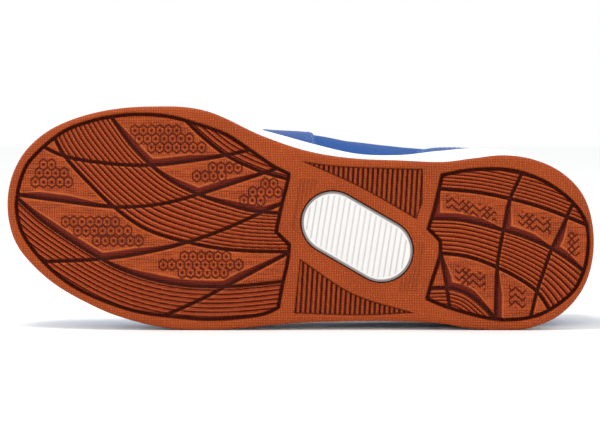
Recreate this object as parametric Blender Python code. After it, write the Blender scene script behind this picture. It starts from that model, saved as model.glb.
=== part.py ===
# Indoor court shoe for the right foot, resting on its lateral side.
# It is modelled standing: toe towards -X, heel towards +X, medial side towards -Y, up +Z.
# At the end every piece is turned over onto the lateral side, with the sole facing -Y.
import math

import bpy
import bmesh
import numpy as np
from mathutils import Vector
from mathutils.bvhtree import BVHTree

MM = 0.001

# Main sizes of the shoe
LENGTH = 292 * MM
BALL_WIDTH = 109.5 * MM
COLLAR_HEIGHT = 95 * MM

# Outsole
RIM_RADIUS_INSET = 2.4 * MM
RIM_TOP_INSET = 1.2 * MM
SIDE_HEIGHT = 6 * MM
TOE_WRAP = 4 * MM
TOE_SPRING = 12 * MM
TOE_SPRING_SHARE = 0.27
ARCH_LIFT = 1.6 * MM
HEEL_BEVEL = 2.2 * MM
HEEL_BEVEL_SHARE = 0.13
GROOVE_WIDTH = 1.3 * MM
GROOVE_DEPTH = 2.2 * MM
CROSS_DEPTH = 1.9 * MM
LONG_GROOVES = 4
BORDER_DEPTH = 2.4 * MM
POCKET_DEPTH = 1.4 * MM
CUTTER_REACH = 3 * MM
RIM_SOFT_INSET = 0.7 * MM
RIM_SOFT_RISE = 0.8 * MM
BORDER_STEP = LENGTH * 0.055
POCKET_STEP = LENGTH * 0.041

# White insert of the waist and its window
WINDOW_CENTRE = (0.597, 0.004)
WINDOW_LENGTH = 60 * MM
WINDOW_WIDTH = 32 * MM
WINDOW_TURN_DEG = 30
WINDOW_DEPTH = 3.4 * MM
INSERT_THICKNESS = 2.6 * MM
WINDOW_CLEARANCE = 0.6 * MM

# Fits
SEAT_GAP = 0.3 * MM
OVERLAY_GAP = 0.6 * MM

# Midsole
FOREFOOT_STACK = 15 * MM
TOE_STACK_RISE = 2.5 * MM
HEEL_STACK = 27 * MM
CUP_DEPTH = 2.5 * MM
CUP_WALL = 2.6 * MM
MIDSOLE_SETBACK = 1.2 * MM

# Upper and what goes in it
WALL = 2.4 * MM
COLLAR_PAD = 4.2 * MM
OVERLAY_THICKNESS = 1.3 * MM
TONGUE_THICKNESS = 4.5 * MM
TONGUE_GAP = 1.5 * MM
INSOLE_THICKNESS = 3.6 * MM
INSOLE_GAP = 1.3 * MM
INSOLE_LOW_INSET = 0.4 * MM
INSOLE_TOP_INSET = 0.9 * MM
INSOLE_ROUND = 0.8 * MM
LACE_WIDTH = 6 * MM
LACE_THICKNESS = 1.3 * MM
LACE_GAP = 0.6 * MM
LACE_OVER = 0.35 * MM
LACE_ROW_RISE = 0.05 * MM
EYELET_ROWS = 5

# Facets
WELD = 0.02 * MM
TURNS = 64
WALL_STEPS = 10


def smooth(keys, values, at, period=None):
    """Cubic curve through the rows of a table, closed on itself when it has a period."""
    keys = np.asarray(keys, float)
    values = np.asarray(values, float)
    at = np.asarray(at, float)
    if period:
        at = np.mod(at, period)
        keys = np.concatenate((keys[-3:] - period, keys, keys[:3] + period))
        values = np.concatenate((values[-3:], values, values[:3]))
    slopes = np.empty_like(values)
    slopes[1:-1] = (values[2:] - values[:-2]) / (keys[2:] - keys[:-2])
    slopes[0] = (values[1] - values[0]) / (keys[1] - keys[0])
    slopes[-1] = (values[-1] - values[-2]) / (keys[-1] - keys[-2])
    low = np.clip(np.searchsorted(keys, at, side="right") - 1, 0, len(keys) - 2)
    span = keys[low + 1] - keys[low]
    share = np.clip((at - keys[low]) / span, 0, 1)
    cube = share ** 3
    square = share ** 2
    return ((2 * cube - 3 * square + 1) * values[low]
            + (cube - 2 * square + share) * span * slopes[low]
            + (3 * square - 2 * cube) * values[low + 1]
            + (cube - square) * span * slopes[low + 1])


def ramp(value, start, end):
    """Soft step from 0 at start to 1 at end."""
    share = np.clip((np.asarray(value, float) - start) / (end - start), 0, 1)
    return share * share * (3 - 2 * share)


def turn_of(side, along):
    """Turn round the shoe: 0 at the toe, 1 at the heel, 2 at the toe again by the lateral side."""
    turn = math.acos(1 - 2 * along) / math.pi
    return turn if side != "lateral" else 2 - turn


def along_of(turn):
    """Share of the length, from toe to heel, at a turn."""
    return (1 - np.cos(math.pi * np.asarray(turn, float))) / 2


# Ground edge of the outsole: side, share of the length, share of the ball width (medial minus)
SOLE_EDGE = [
    ("toe", 0.0, -0.140),
    ("medial", 0.012, -0.297),
    ("medial", 0.037, -0.401),
    ("medial", 0.084, -0.495),
    ("medial", 0.160, -0.563),
    ("medial", 0.245, -0.586),
    ("medial", 0.338, -0.568),
    ("medial", 0.439, -0.450),
    ("medial", 0.515, -0.383),
    ("medial", 0.591, -0.351),
    ("medial", 0.667, -0.342),
    ("medial", 0.743, -0.335),
    ("medial", 0.794, -0.351),
    ("medial", 0.845, -0.365),
    ("medial", 0.895, -0.347),
    ("medial", 0.946, -0.284),
    ("medial", 0.986, -0.160),
    ("heel", 1.0, 0.030),
    ("lateral", 0.986, 0.216),
    ("lateral", 0.946, 0.351),
    ("lateral", 0.895, 0.415),
    ("lateral", 0.845, 0.428),
    ("lateral", 0.794, 0.421),
    ("lateral", 0.730, 0.396),
    ("lateral", 0.642, 0.387),
    ("lateral", 0.566, 0.389),
    ("lateral", 0.490, 0.397),
    ("lateral", 0.414, 0.415),
    ("lateral", 0.338, 0.428),
    ("lateral", 0.262, 0.413),
    ("lateral", 0.186, 0.361),
    ("lateral", 0.135, 0.302),
    ("lateral", 0.084, 0.225),
    ("lateral", 0.042, 0.130),
    ("lateral", 0.012, 0.020),
]
EDGE_TURNS = [turn_of(side, along) for side, along, across in SOLE_EDGE]
EDGE_ACROSS = [across for side, along, across in SOLE_EDGE]

# How far the white midsole stands out past the gum edge: side, share of the length, millimetres
MIDSOLE_FLARE = [
    ("toe", 0.0, 0.0),
    ("medial", 0.22, 0.0),
    ("medial", 0.38, 1.4),
    ("medial", 0.46, 3.2),
    ("medial", 0.52, 3.2),
    ("medial", 0.60, 1.6),
    ("medial", 0.67, 2.4),
    ("medial", 0.735, 5.6),
    ("medial", 0.79, 5.6),
    ("medial", 0.85, 2.8),
    ("medial", 0.94, 0.4),
    ("heel", 1.0, 0.0),
    ("lateral", 0.80, 0.0),
    ("lateral", 0.72, 1.4),
    ("lateral", 0.60, 2.2),
    ("lateral", 0.50, 1.4),
    ("lateral", 0.42, 0.0),
    ("lateral", 0.20, 0.0),
]
FLARE_TURNS = [turn_of(side, along) for side, along, flare in MIDSOLE_FLARE]
FLARE_OUT = [flare for side, along, flare in MIDSOLE_FLARE]

# Shape of the upper. Each row is one wall line from the feather line up to the opening.
# Columns: side, share of the length at the sole; then the point on the opening as shares of
# the length, ball width and collar height; then the two handles of the line: rise of the
# lower one (collar height), belly outwards (ball width), shoulder outwards of the upper one
# (ball width) and its drop (collar height).
UPPER_LINES = [
    ("toe", 0.0, 0.330, -0.045, 0.690, 0.27, 0.000, 0.42, 0.10),
    ("medial", 0.05, 0.334, -0.080, 0.690, 0.27, 0.000, 0.38, 0.11),
    ("medial", 0.13, 0.342, -0.112, 0.695, 0.26, 0.010, 0.33, 0.12),
    ("medial", 0.22, 0.360, -0.135, 0.715, 0.25, 0.020, 0.28, 0.13),
    ("medial", 0.31, 0.392, -0.150, 0.760, 0.24, 0.035, 0.22, 0.13),
    ("medial", 0.40, 0.440, -0.165, 0.840, 0.24, 0.075, 0.19, 0.14),
    ("medial", 0.50, 0.508, -0.182, 0.955, 0.26, 0.195, 0.17, 0.16),
    ("medial", 0.58, 0.572, -0.205, 1.050, 0.29, 0.225, 0.15, 0.18),
    ("medial", 0.65, 0.630, -0.255, 1.010, 0.29, 0.170, 0.12, 0.20),
    ("medial", 0.72, 0.700, -0.285, 0.870, 0.26, 0.090, 0.09, 0.20),
    ("medial", 0.80, 0.785, -0.270, 0.815, 0.25, 0.045, 0.07, 0.20),
    ("medial", 0.88, 0.870, -0.235, 0.860, 0.26, 0.030, 0.06, 0.22),
    ("medial", 0.955, 0.940, -0.150, 0.945, 0.28, 0.030, 0.05, 0.24),
    ("heel", 1.0, 0.968, 0.030, 0.990, 0.28, 0.035, 0.03, 0.24),
    ("lateral", 0.955, 0.940, 0.210, 0.940, 0.28, 0.030, 0.05, 0.24),
    ("lateral", 0.88, 0.870, 0.285, 0.840, 0.26, 0.030, 0.06, 0.22),
    ("lateral", 0.80, 0.785, 0.305, 0.785, 0.25, 0.035, 0.07, 0.20),
    ("lateral", 0.72, 0.700, 0.295, 0.840, 0.26, 0.045, 0.09, 0.20),
    ("lateral", 0.65, 0.630, 0.225, 0.990, 0.28, 0.050, 0.13, 0.20),
    ("lateral", 0.58, 0.572, 0.130, 1.040, 0.28, 0.050, 0.19, 0.19),
    ("lateral", 0.50, 0.508, 0.098, 0.945, 0.25, 0.045, 0.22, 0.17),
    ("lateral", 0.40, 0.440, 0.075, 0.835, 0.23, 0.035, 0.25, 0.15),
    ("lateral", 0.31, 0.392, 0.060, 0.755, 0.23, 0.025, 0.28, 0.14),
    ("lateral", 0.22, 0.360, 0.042, 0.715, 0.24, 0.015, 0.31, 0.13),
    ("lateral", 0.13, 0.342, 0.018, 0.695, 0.25, 0.005, 0.34, 0.12),
    ("lateral", 0.05, 0.334, -0.012, 0.690, 0.26, 0.000, 0.38, 0.11),
]
LINE_TURNS = [turn_of(row[0], row[1]) for row in UPPER_LINES]


def column(turns, index):
    return smooth(LINE_TURNS, [row[index] for row in UPPER_LINES], turns, 2)


def place(along, across):
    """Point in metres from shares of the length and of the ball width."""
    return (np.asarray(along, float) - 0.5) * LENGTH, np.asarray(across, float) * BALL_WIDTH


def along_x(x):
    return x / LENGTH + 0.5


def lift(along):
    """Height of the ground side of the sole above the floor that the shoe would stand on."""
    toe = np.clip((TOE_SPRING_SHARE - along) / TOE_SPRING_SHARE, 0, None) ** 2
    heel = np.clip((along - 1 + HEEL_BEVEL_SHARE) / HEEL_BEVEL_SHARE, 0, None) ** 2
    arch = ramp(along, 0.42, 0.54) * (1 - ramp(along, 0.66, 0.76))
    return TOE_SPRING * toe + HEEL_BEVEL * heel + ARCH_LIFT * arch


def sole_outline(turns, outwards):
    """Plan of the sole at each turn, moved outwards by a distance, and the outward direction."""
    step = 0.004
    x, y = place(along_of(turns), smooth(EDGE_TURNS, EDGE_ACROSS, turns, 2))
    x_before, y_before = place(along_of(turns - step), smooth(EDGE_TURNS, EDGE_ACROSS, turns - step, 2))
    x_after, y_after = place(along_of(turns + step), smooth(EDGE_TURNS, EDGE_ACROSS, turns + step, 2))
    run = np.stack((x_after - x_before, y_after - y_before), axis=-1)
    run /= np.linalg.norm(run, axis=-1, keepdims=True)
    out = np.stack((run[..., 1], -run[..., 0]), axis=-1)
    return x + out[..., 0] * outwards, y + out[..., 1] * outwards, out


def side_top(along):
    """Height where the gum side ends and the white midsole begins."""
    return lift(along) + SIDE_HEIGHT + TOE_WRAP * (1 - ramp(along, 0.0, 0.16))


def midsole_top(along):
    stack = FOREFOOT_STACK + (HEEL_STACK - FOREFOOT_STACK) * ramp(along, 0.32, 0.86)
    return stack + lift(along) * (1 - ramp(along, 0.40, 0.60)) + TOE_STACK_RISE * (1 - ramp(along, 0.0, 0.14))


def flare(turns):
    return smooth(FLARE_TURNS, FLARE_OUT, turns, 2) * MM


def feather_inset(turns):
    """Distance of the upper's outer foot from the gum edge."""
    return flare(turns) - MIDSOLE_SETBACK - CUP_WALL - SEAT_GAP


def cup_lean(turns):
    """How far the upper leans outwards between its foot and the top edge of the midsole."""
    return CUP_DEPTH * column(turns, 6) * BALL_WIDTH / (column(turns, 5) * COLLAR_HEIGHT)


def upper_surface(turns, heights):
    """Outer surface of the upper: turns round the shoe, heights from 0 at the sole to 1 at the opening."""
    x, y, out = sole_outline(turns, feather_inset(turns))
    along = along_of(turns)
    foot = np.stack((x, y, midsole_top(along) - CUP_DEPTH + SEAT_GAP), axis=-1)
    edge_x, edge_y = place(column(turns, 2), column(turns, 3))
    edge = np.stack((edge_x, edge_y, column(turns, 4) * COLLAR_HEIGHT), axis=-1)
    out3 = np.concatenate((out, np.zeros(out.shape[:-1] + (1,))), axis=-1)
    lower = foot + out3 * (column(turns, 6) * BALL_WIDTH)[..., None]
    lower[..., 2] += column(turns, 5) * COLLAR_HEIGHT
    towards = foot[..., :2] - edge[..., :2]
    towards = towards / np.maximum(np.linalg.norm(towards, axis=-1, keepdims=True), 1 * MM)
    blend = ramp(np.abs(along), 0.60, 0.72)[..., None]
    towards = towards * (1 - blend) + out * blend
    upper = edge.copy()
    upper[..., :2] += towards * (column(turns, 7) * BALL_WIDTH)[..., None]
    upper[..., 2] -= column(turns, 8) * COLLAR_HEIGHT
    h = np.asarray(heights, float)[..., None]
    return ((1 - h) ** 3 * foot + 3 * (1 - h) ** 2 * h * lower
            + 3 * (1 - h) * h ** 2 * upper + h ** 3 * edge)


def upper_normal(turns, heights):
    """Outward direction of the upper."""
    step = 0.003
    low = np.clip(heights - step, 0, 1)
    high = np.clip(heights + step, 0, 1)
    round_run = upper_surface(turns + step, heights) - upper_surface(turns - step, heights)
    up_run = upper_surface(turns, high) - upper_surface(turns, low)
    normal = np.cross(round_run, up_run)
    return normal / np.linalg.norm(normal, axis=-1, keepdims=True)


def wall_thickness(turns, heights):
    """Wall of the upper, padded round the collar."""
    along = along_of(turns)
    collar = ramp(along, 0.65, 0.75)
    pad = ramp(heights, 0.50, 0.80) * (1 - 0.45 * ramp(heights, 0.90, 1.0))
    return WALL + COLLAR_PAD * collar * pad


def upper_at(turns, heights, outwards):
    return upper_surface(turns, heights) + upper_normal(turns, heights) * np.asarray(outwards)[..., None]


def add_solid(name, points, faces):
    """Closed mesh object with its faces turned outwards."""
    mesh = bpy.data.meshes.new(name)
    mesh.from_pydata([tuple(float(value) for value in point) for point in points], [], faces)
    solid = bmesh.new()
    solid.from_mesh(mesh)
    bmesh.ops.recalc_face_normals(solid, faces=solid.faces)
    bmesh.ops.triangulate(solid, faces=solid.faces)
    if solid.calc_volume(signed=True) < 0:
        bmesh.ops.reverse_faces(solid, faces=solid.faces)
    solid.to_mesh(mesh)
    solid.free()
    made = bpy.data.objects.new(name, mesh)
    bpy.context.scene.collection.objects.link(made)
    return made


def boolean(target, tool, operation):
    """Cut or join with the exact solver, weld hair cracks, and drop the tool."""
    step = target.modifiers.new("step", "BOOLEAN")
    step.operation = operation
    step.solver = "EXACT"
    step.object = tool
    bpy.context.view_layer.update()
    result = target.evaluated_get(bpy.context.evaluated_depsgraph_get())
    mesh = bpy.data.meshes.new_from_object(result)
    shape = bmesh.new()
    shape.from_mesh(mesh)
    bmesh.ops.remove_doubles(shape, verts=shape.verts, dist=WELD)
    shape.to_mesh(mesh)
    shape.free()
    target.modifiers.clear()
    old_mesh = target.data
    target.data = mesh
    bpy.data.meshes.remove(old_mesh)
    bpy.data.objects.remove(tool)


def ring_faces(rings, count):
    """Quads between rings of the same number of points."""
    faces = []
    for ring in range(rings - 1):
        for index in range(count):
            after = (index + 1) % count
            a = ring * count
            b = a + count
            faces.append((a + index, a + after, b + after, b + index))
    return faces


def cap_faces(start, count):
    """Quads across a ring of the sole, from the medial to the lateral side."""
    half = count // 2
    faces = []
    for index in range(half):
        medial = (start + index, start + index + 1)
        lateral = (start + (count - index) % count, start + count - index - 1)
        if index == 0:
            faces.append((medial[0], medial[1], lateral[1]))
        elif index == half - 1:
            faces.append((medial[0], medial[1], lateral[0]))
        else:
            faces.append((medial[0], medial[1], lateral[1], lateral[0]))
    return faces


def sole_solid(name, rings):
    """Solid from rings round the sole, closed by a cap at the first and the last one."""
    points = np.concatenate(rings)
    count = len(rings[0])
    faces = ring_faces(len(rings), count)
    faces += cap_faces(0, count)
    faces += cap_faces((len(rings) - 1) * count, count)
    return add_solid(name, points, faces)


def prism(name, corners, depth):
    """Cutter from a plan polygon, from under the sole up to a depth in it."""
    top = []
    bottom = []
    for x, y in corners:
        ground = float(lift(along_x(x)))
        top.append((x, y, ground + depth))
        bottom.append((x, y, ground - CUTTER_REACH))
    count = len(corners)
    faces = ring_faces(2, count)
    faces.append(tuple(range(count)))
    faces.append(tuple(range(count, 2 * count)))
    return add_solid(name, top + bottom, faces)


def ribbon(name, path, width, depth, closed=False):
    """Cutter that follows a plan path, with the given width and depth."""
    path = np.asarray(path, float)
    if closed:
        run = np.roll(path, -1, axis=0) - np.roll(path, 1, axis=0)
    else:
        run = np.gradient(path, axis=0)
    run /= np.linalg.norm(run, axis=1, keepdims=True)
    side = np.stack((run[:, 1], -run[:, 0]), axis=1) * width / 2
    points = []
    for (x, y), (side_x, side_y) in zip(path, side):
        ground = float(lift(along_x(x)))
        points.append((x + side_x, y + side_y, ground - CUTTER_REACH))
        points.append((x + side_x, y + side_y, ground + depth))
        points.append((x - side_x, y - side_y, ground + depth))
        points.append((x - side_x, y - side_y, ground - CUTTER_REACH))
    faces = []
    count = len(path)
    for index in range(count if closed else count - 1):
        a = 4 * index
        b = 4 * ((index + 1) % count)
        for corner in range(4):
            after = (corner + 1) % 4
            faces.append((a + corner, a + after, b + after, b + corner))
    if not closed:
        faces.append((0, 1, 2, 3))
        last = 4 * (count - 1)
        faces.append((last, last + 1, last + 2, last + 3))
    return add_solid(name, points, faces)


def curve_path(rows, steps):
    """Smooth open path through rows of shares of the length and the ball width."""
    x, y = place([row[0] for row in rows], [row[1] for row in rows])
    keys = np.concatenate(([0], np.cumsum(np.hypot(np.diff(x), np.diff(y)))))
    at = np.linspace(0, keys[-1], steps)
    return np.stack((smooth(keys, x, at), smooth(keys, y, at)), axis=1)


def field_outline(rows, spacing):
    """Closed path through rows of shares; the rows marked corner stay sharp."""
    corners = [index for index, row in enumerate(rows) if row[2] == "corner"]
    pieces = []
    for number, start in enumerate(corners):
        end = corners[(number + 1) % len(corners)]
        if end <= start:
            end += len(rows)
        run = [rows[index % len(rows)] for index in range(start, end + 1)]
        x, y = place([row[0] for row in run], [row[1] for row in run])
        length = np.sum(np.hypot(np.diff(x), np.diff(y)))
        steps = max(2, int(round(length / spacing)) + 1)
        pieces.append(curve_path(run, steps)[:-1])
    return np.concatenate(pieces)


def inset(polygon, distance):
    """Plan polygon moved inwards, or outwards where the distance is minus."""
    before = polygon - np.roll(polygon, 1, axis=0)
    after = np.roll(polygon, -1, axis=0) - polygon
    before /= np.linalg.norm(before, axis=1, keepdims=True)
    after /= np.linalg.norm(after, axis=1, keepdims=True)
    area = np.sum(polygon[:, 0] * np.roll(polygon[:, 1], -1) - np.roll(polygon[:, 0], -1) * polygon[:, 1])
    hand = 1 if area > 0 else -1
    left_before = np.stack((-before[:, 1], before[:, 0]), axis=1) * hand
    left_after = np.stack((-after[:, 1], after[:, 0]), axis=1) * hand
    middle = left_before + left_after
    scale = 2 / np.maximum(np.sum(middle * middle, axis=1), 0.6)
    return polygon + middle * scale[:, None] * distance


# Tread fields: share of the length, share of the ball width, kind of point
FOREFOOT_FIELD = [
    (0.016, -0.140, "soft"),
    (0.024, -0.257, "soft"),
    (0.041, -0.345, "soft"),
    (0.095, -0.468, "soft"),
    (0.142, -0.518, "soft"),
    (0.183, -0.541, "soft"),
    (0.225, -0.550, "soft"),
    (0.272, -0.543, "soft"),
    (0.311, -0.518, "soft"),
    (0.372, -0.462, "soft"),
    (0.409, -0.400, "soft"),
    (0.4535, -0.318, "soft"),
    (0.482, -0.279, "corner"),
    (0.478, -0.234, "soft"),
    (0.468, -0.126, "soft"),
    (0.4595, -0.018, "corner"),
    (0.482, 0.0405, "corner"),
    (0.479, 0.117, "soft"),
    (0.471, 0.212, "soft"),
    (0.463, 0.325, "corner"),
    (0.441, 0.352, "soft"),
    (0.399, 0.370, "soft"),
    (0.348, 0.378, "soft"),
    (0.296, 0.369, "soft"),
    (0.228, 0.345, "soft"),
    (0.174, 0.302, "soft"),
    (0.130, 0.252, "soft"),
    (0.0946, 0.194, "soft"),
    (0.0625, 0.118, "soft"),
    (0.0346, 0.027, "soft"),
    (0.022, -0.040, "soft"),
]
HEEL_FIELD = [
    (0.7415, -0.275, "corner"),
    (0.785, -0.297, "soft"),
    (0.8395, -0.302, "soft"),
    (0.880, -0.284, "soft"),
    (0.9257, -0.230, "soft"),
    (0.966, -0.143, "soft"),
    (0.9865, -0.055, "soft"),
    (0.990, 0.040, "soft"),
    (0.983, 0.153, "soft"),
    (0.9645, 0.250, "soft"),
    (0.9257, 0.333, "soft"),
    (0.8936, 0.368, "soft"),
    (0.850, 0.381, "soft"),
    (0.8176, 0.372, "soft"),
    (0.753, 0.326, "soft"),
    (0.716, 0.2856, "corner"),
    (0.723, 0.216, "soft"),
    (0.738, 0.0856, "soft"),
    (0.738, 0.0225, "corner"),
    (0.718, -0.0315, "corner"),
    (0.728, -0.1216, "soft"),
]

# Grooves that part the tread into blocks: share of the length, share of the ball width.
# The long ones run from the toe back, the slanted ones cross them.
FOREFOOT_GROOVES = [
    [(0.056, -0.440), (0.101, -0.360), (0.181, -0.326), (0.248, -0.320), (0.312, -0.338), (0.373, -0.365),
     (0.420, -0.396)],
    [(0.010, -0.190), (0.093, -0.158), (0.186, -0.131), (0.262, -0.144), (0.329, -0.189), (0.397, -0.248),
     (0.468, -0.314)],
    [(0.052, 0.121), (0.093, 0.115), (0.169, 0.104), (0.245, 0.072), (0.311, 0.027), (0.373, -0.032),
     (0.441, -0.113), (0.482, -0.160)],
    [(0.258, 0.376), (0.329, 0.291), (0.373, 0.230), (0.424, 0.158), (0.488, 0.066)],
    [(0.079, -0.468), (0.101, -0.356), (0.140, -0.243), (0.182, -0.135), (0.238, -0.032), (0.307, 0.027),
     (0.383, 0.063), (0.488, 0.073)],
    [(0.180, -0.548), (0.215, -0.405), (0.247, -0.320), (0.282, -0.248), (0.326, -0.189), (0.380, -0.140),
     (0.422, -0.112), (0.474, -0.100)],
    [(0.303, -0.532), (0.338, -0.441), (0.375, -0.365), (0.414, -0.313), (0.443, -0.284), (0.484, -0.252)],
    [(0.016, -0.172), (0.050, -0.090), (0.084, -0.023), (0.155, 0.095), (0.211, 0.167), (0.272, 0.212),
     (0.329, 0.230), (0.397, 0.227), (0.476, 0.204)],
]
HEEL_GROOVES = [
    [(0.730, -0.214), (0.801, -0.197), (0.856, -0.168), (0.904, -0.134), (0.951, -0.088), (0.992, -0.040)],
    [(0.718, -0.078), (0.775, -0.070), (0.845, -0.025), (0.883, 0.007), (0.927, 0.059), (0.985, 0.164)],
    [(0.732, 0.078), (0.787, 0.096), (0.834, 0.142), (0.872, 0.194), (0.902, 0.252), (0.926, 0.340)],
    [(0.716, 0.238), (0.753, 0.236), (0.782, 0.259), (0.807, 0.309), (0.829, 0.380)],
    [(0.737, 0.060), (0.745, 0.167), (0.750, 0.248), (0.754, 0.330)],
    [(0.879, -0.292), (0.873, -0.255), (0.856, -0.162), (0.846, -0.032), (0.836, 0.117), (0.833, 0.243),
     (0.832, 0.384)],
    [(0.970, -0.152), (0.946, -0.041), (0.927, 0.063), (0.914, 0.162), (0.902, 0.257), (0.893, 0.375)],
]

# Pockets of the waist: share of the length, share of the ball width, kind of point
MEDIAL_POCKET = [
    (0.503, -0.338, "corner"),
    (0.560, -0.318, "soft"),
    (0.640, -0.308, "soft"),
    (0.7196, -0.302, "corner"),
    (0.714, -0.200, "soft"),
    (0.698, -0.075, "corner"),
    (0.600, -0.222, "soft"),
]
LATERAL_POCKET = [
    (0.500, 0.105, "corner"),
    (0.590, 0.262, "soft"),
    (0.694, 0.350, "corner"),
    (0.600, 0.362, "soft"),
    (0.490, 0.352, "corner"),
]


def capsule(length, width, arc_steps):
    """Plan of the slanted window with round ends."""
    turn = math.radians(WINDOW_TURN_DEG)
    centre_x, centre_y = place(*WINDOW_CENTRE)
    radius = width / 2
    reach = length / 2 - radius
    points = []
    for end, start in ((1, -90), (-1, 90)):
        for step in range(arc_steps + 1):
            angle = math.radians(start + 180 * step / arc_steps)
            x = end * reach + radius * math.cos(angle)
            y = radius * math.sin(angle)
            points.append((centre_x + x * math.cos(turn) - y * math.sin(turn),
                           centre_y + x * math.sin(turn) + y * math.cos(turn)))
    return np.array(points)


def sole_ring(turns, outwards, height):
    """One ring round the sole; height is a function of the share of the length."""
    x, y, out = sole_outline(turns, outwards)
    return np.stack((x, y, height(along_of(turns))), axis=-1)


def outsole(turns):
    rim = [
        (-RIM_RADIUS_INSET, lift),
        (-RIM_SOFT_INSET, lambda along: lift(along) + RIM_SOFT_RISE),
        (0.0, lambda along: lift(along) + RIM_RADIUS_INSET),
        (-RIM_TOP_INSET, side_top),
    ]
    rings = [sole_ring(turns, outwards, height) for outwards, height in rim]
    body = sole_solid("outsole", rings)
    for field, grooves in (("forefoot", FOREFOOT_GROOVES), ("heel", HEEL_GROOVES)):
        for number, rows in enumerate(grooves):
            depth = GROOVE_DEPTH if number < LONG_GROOVES else CROSS_DEPTH
            path = curve_path(rows, len(rows) - 1)
            cutter = ribbon("%s_groove_%d" % (field, number), path, GROOVE_WIDTH, depth)
            boolean(body, cutter, "DIFFERENCE")
    for name, rows in (("forefoot_border", FOREFOOT_FIELD), ("heel_border", HEEL_FIELD)):
        edge = field_outline(rows, BORDER_STEP)
        boolean(body, ribbon(name, edge, GROOVE_WIDTH, BORDER_DEPTH, closed=True), "DIFFERENCE")
    for name, rows in (("medial_pocket", MEDIAL_POCKET), ("lateral_pocket", LATERAL_POCKET)):
        boolean(body, prism(name, field_outline(rows, POCKET_STEP), POCKET_DEPTH), "DIFFERENCE")
    window = capsule(WINDOW_LENGTH, WINDOW_WIDTH, 10)
    boolean(body, prism("window_cutter", window, WINDOW_DEPTH), "DIFFERENCE")
    return body


def waist_insert():
    edge = capsule(WINDOW_LENGTH - 2 * WINDOW_CLEARANCE, WINDOW_WIDTH - 2 * WINDOW_CLEARANCE, 10)
    top = []
    bottom = []
    for x, y in edge:
        ground = float(lift(along_x(x)))
        top.append((x, y, ground + WINDOW_DEPTH - SEAT_GAP))
        bottom.append((x, y, ground + WINDOW_DEPTH - SEAT_GAP - INSERT_THICKNESS))
    count = len(edge)
    faces = ring_faces(2, count) + [tuple(range(count)), tuple(range(count, 2 * count))]
    return add_solid("waist_insert", top + bottom, faces)


# Side of the midsole: share of the side's height, distance out from the setback in millimetres
MIDSOLE_SIDE = [
    (0.00, 0.0),
    (0.22, 0.5),
    (0.30, -0.5),
    (0.42, -0.5),
    (0.52, 0.5),
    (0.84, 0.2),
    (1.00, -0.8),
]


def midsole(turns):
    along = along_of(turns)
    bottom = side_top(along) + SEAT_GAP
    top = midsole_top(along)
    rings = []
    for share, out in MIDSOLE_SIDE:
        grown = flare(turns) * ramp(share, 0.0, 0.45) + cup_lean(turns) * ramp(share, 0.5, 1.0)
        x, y, side = sole_outline(turns, grown - MIDSOLE_SETBACK + out * MM)
        rings.append(np.stack((x, y, bottom + (top - bottom) * share), axis=-1))
    inner = flare(turns) - MIDSOLE_SETBACK - CUP_WALL
    x, y, side = sole_outline(turns, inner + cup_lean(turns))
    rings.append(np.stack((x, y, top), axis=-1))
    x, y, side = sole_outline(turns, inner)
    rings.append(np.stack((x, y, top - CUP_DEPTH), axis=-1))
    return sole_solid("midsole", rings)


def upper(turns):
    heights = np.linspace(0, 1, WALL_STEPS + 1)
    rings = []
    for height in heights:
        rings.append(upper_surface(turns, np.full_like(turns, height)))
    level = np.ones_like(turns)
    outer = upper_surface(turns, level)
    inner = upper_at(turns, level, -wall_thickness(turns, level))
    rise = outer - upper_surface(turns, level * 0.98)
    rise /= np.linalg.norm(rise, axis=-1, keepdims=True)
    rings.append((outer + inner) / 2 + rise * (wall_thickness(turns, level) * 0.3)[:, None])
    for height in heights[::-1]:
        level = np.full_like(turns, height)
        ring = upper_at(turns, level, -wall_thickness(turns, level))
        if height == 0:
            ring[:, 2] = rings[0][:, 2]
        rings.append(ring)
    count = len(turns)
    points = np.concatenate(rings)
    faces = ring_faces(len(rings), count)
    last = (len(rings) - 1) * count
    for index in range(count):
        after = (index + 1) % count
        faces.append((last + index, last + after, after, index))
    return add_solid("upper", points, faces)


def overlay(name, turns, low, high, steps):
    """Thin patch on the upper between two heights, each a value for every turn."""
    count = len(turns)
    layers = []
    for outwards in (OVERLAY_GAP, OVERLAY_GAP + OVERLAY_THICKNESS):
        for step in range(steps + 1):
            level = low + (high - low) * step / steps
            layers.append(upper_at(turns, level, np.full_like(turns, outwards)))
    points = np.concatenate(layers)
    rows = steps + 1
    faces = []

    def corner(layer, row, index):
        return (layer * rows + row) * count + index

    for row in range(steps):
        for index in range(count - 1):
            for layer in (0, 1):
                faces.append((corner(layer, row, index), corner(layer, row, index + 1),
                              corner(layer, row + 1, index + 1), corner(layer, row + 1, index)))
        for index in (0, count - 1):
            faces.append((corner(0, row, index), corner(1, row, index),
                          corner(1, row + 1, index), corner(0, row + 1, index)))
    for index in range(count - 1):
        for row in (0, steps):
            faces.append((corner(0, row, index), corner(0, row, index + 1),
                          corner(1, row, index + 1), corner(1, row, index)))
    return add_solid(name, points, faces)


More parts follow.
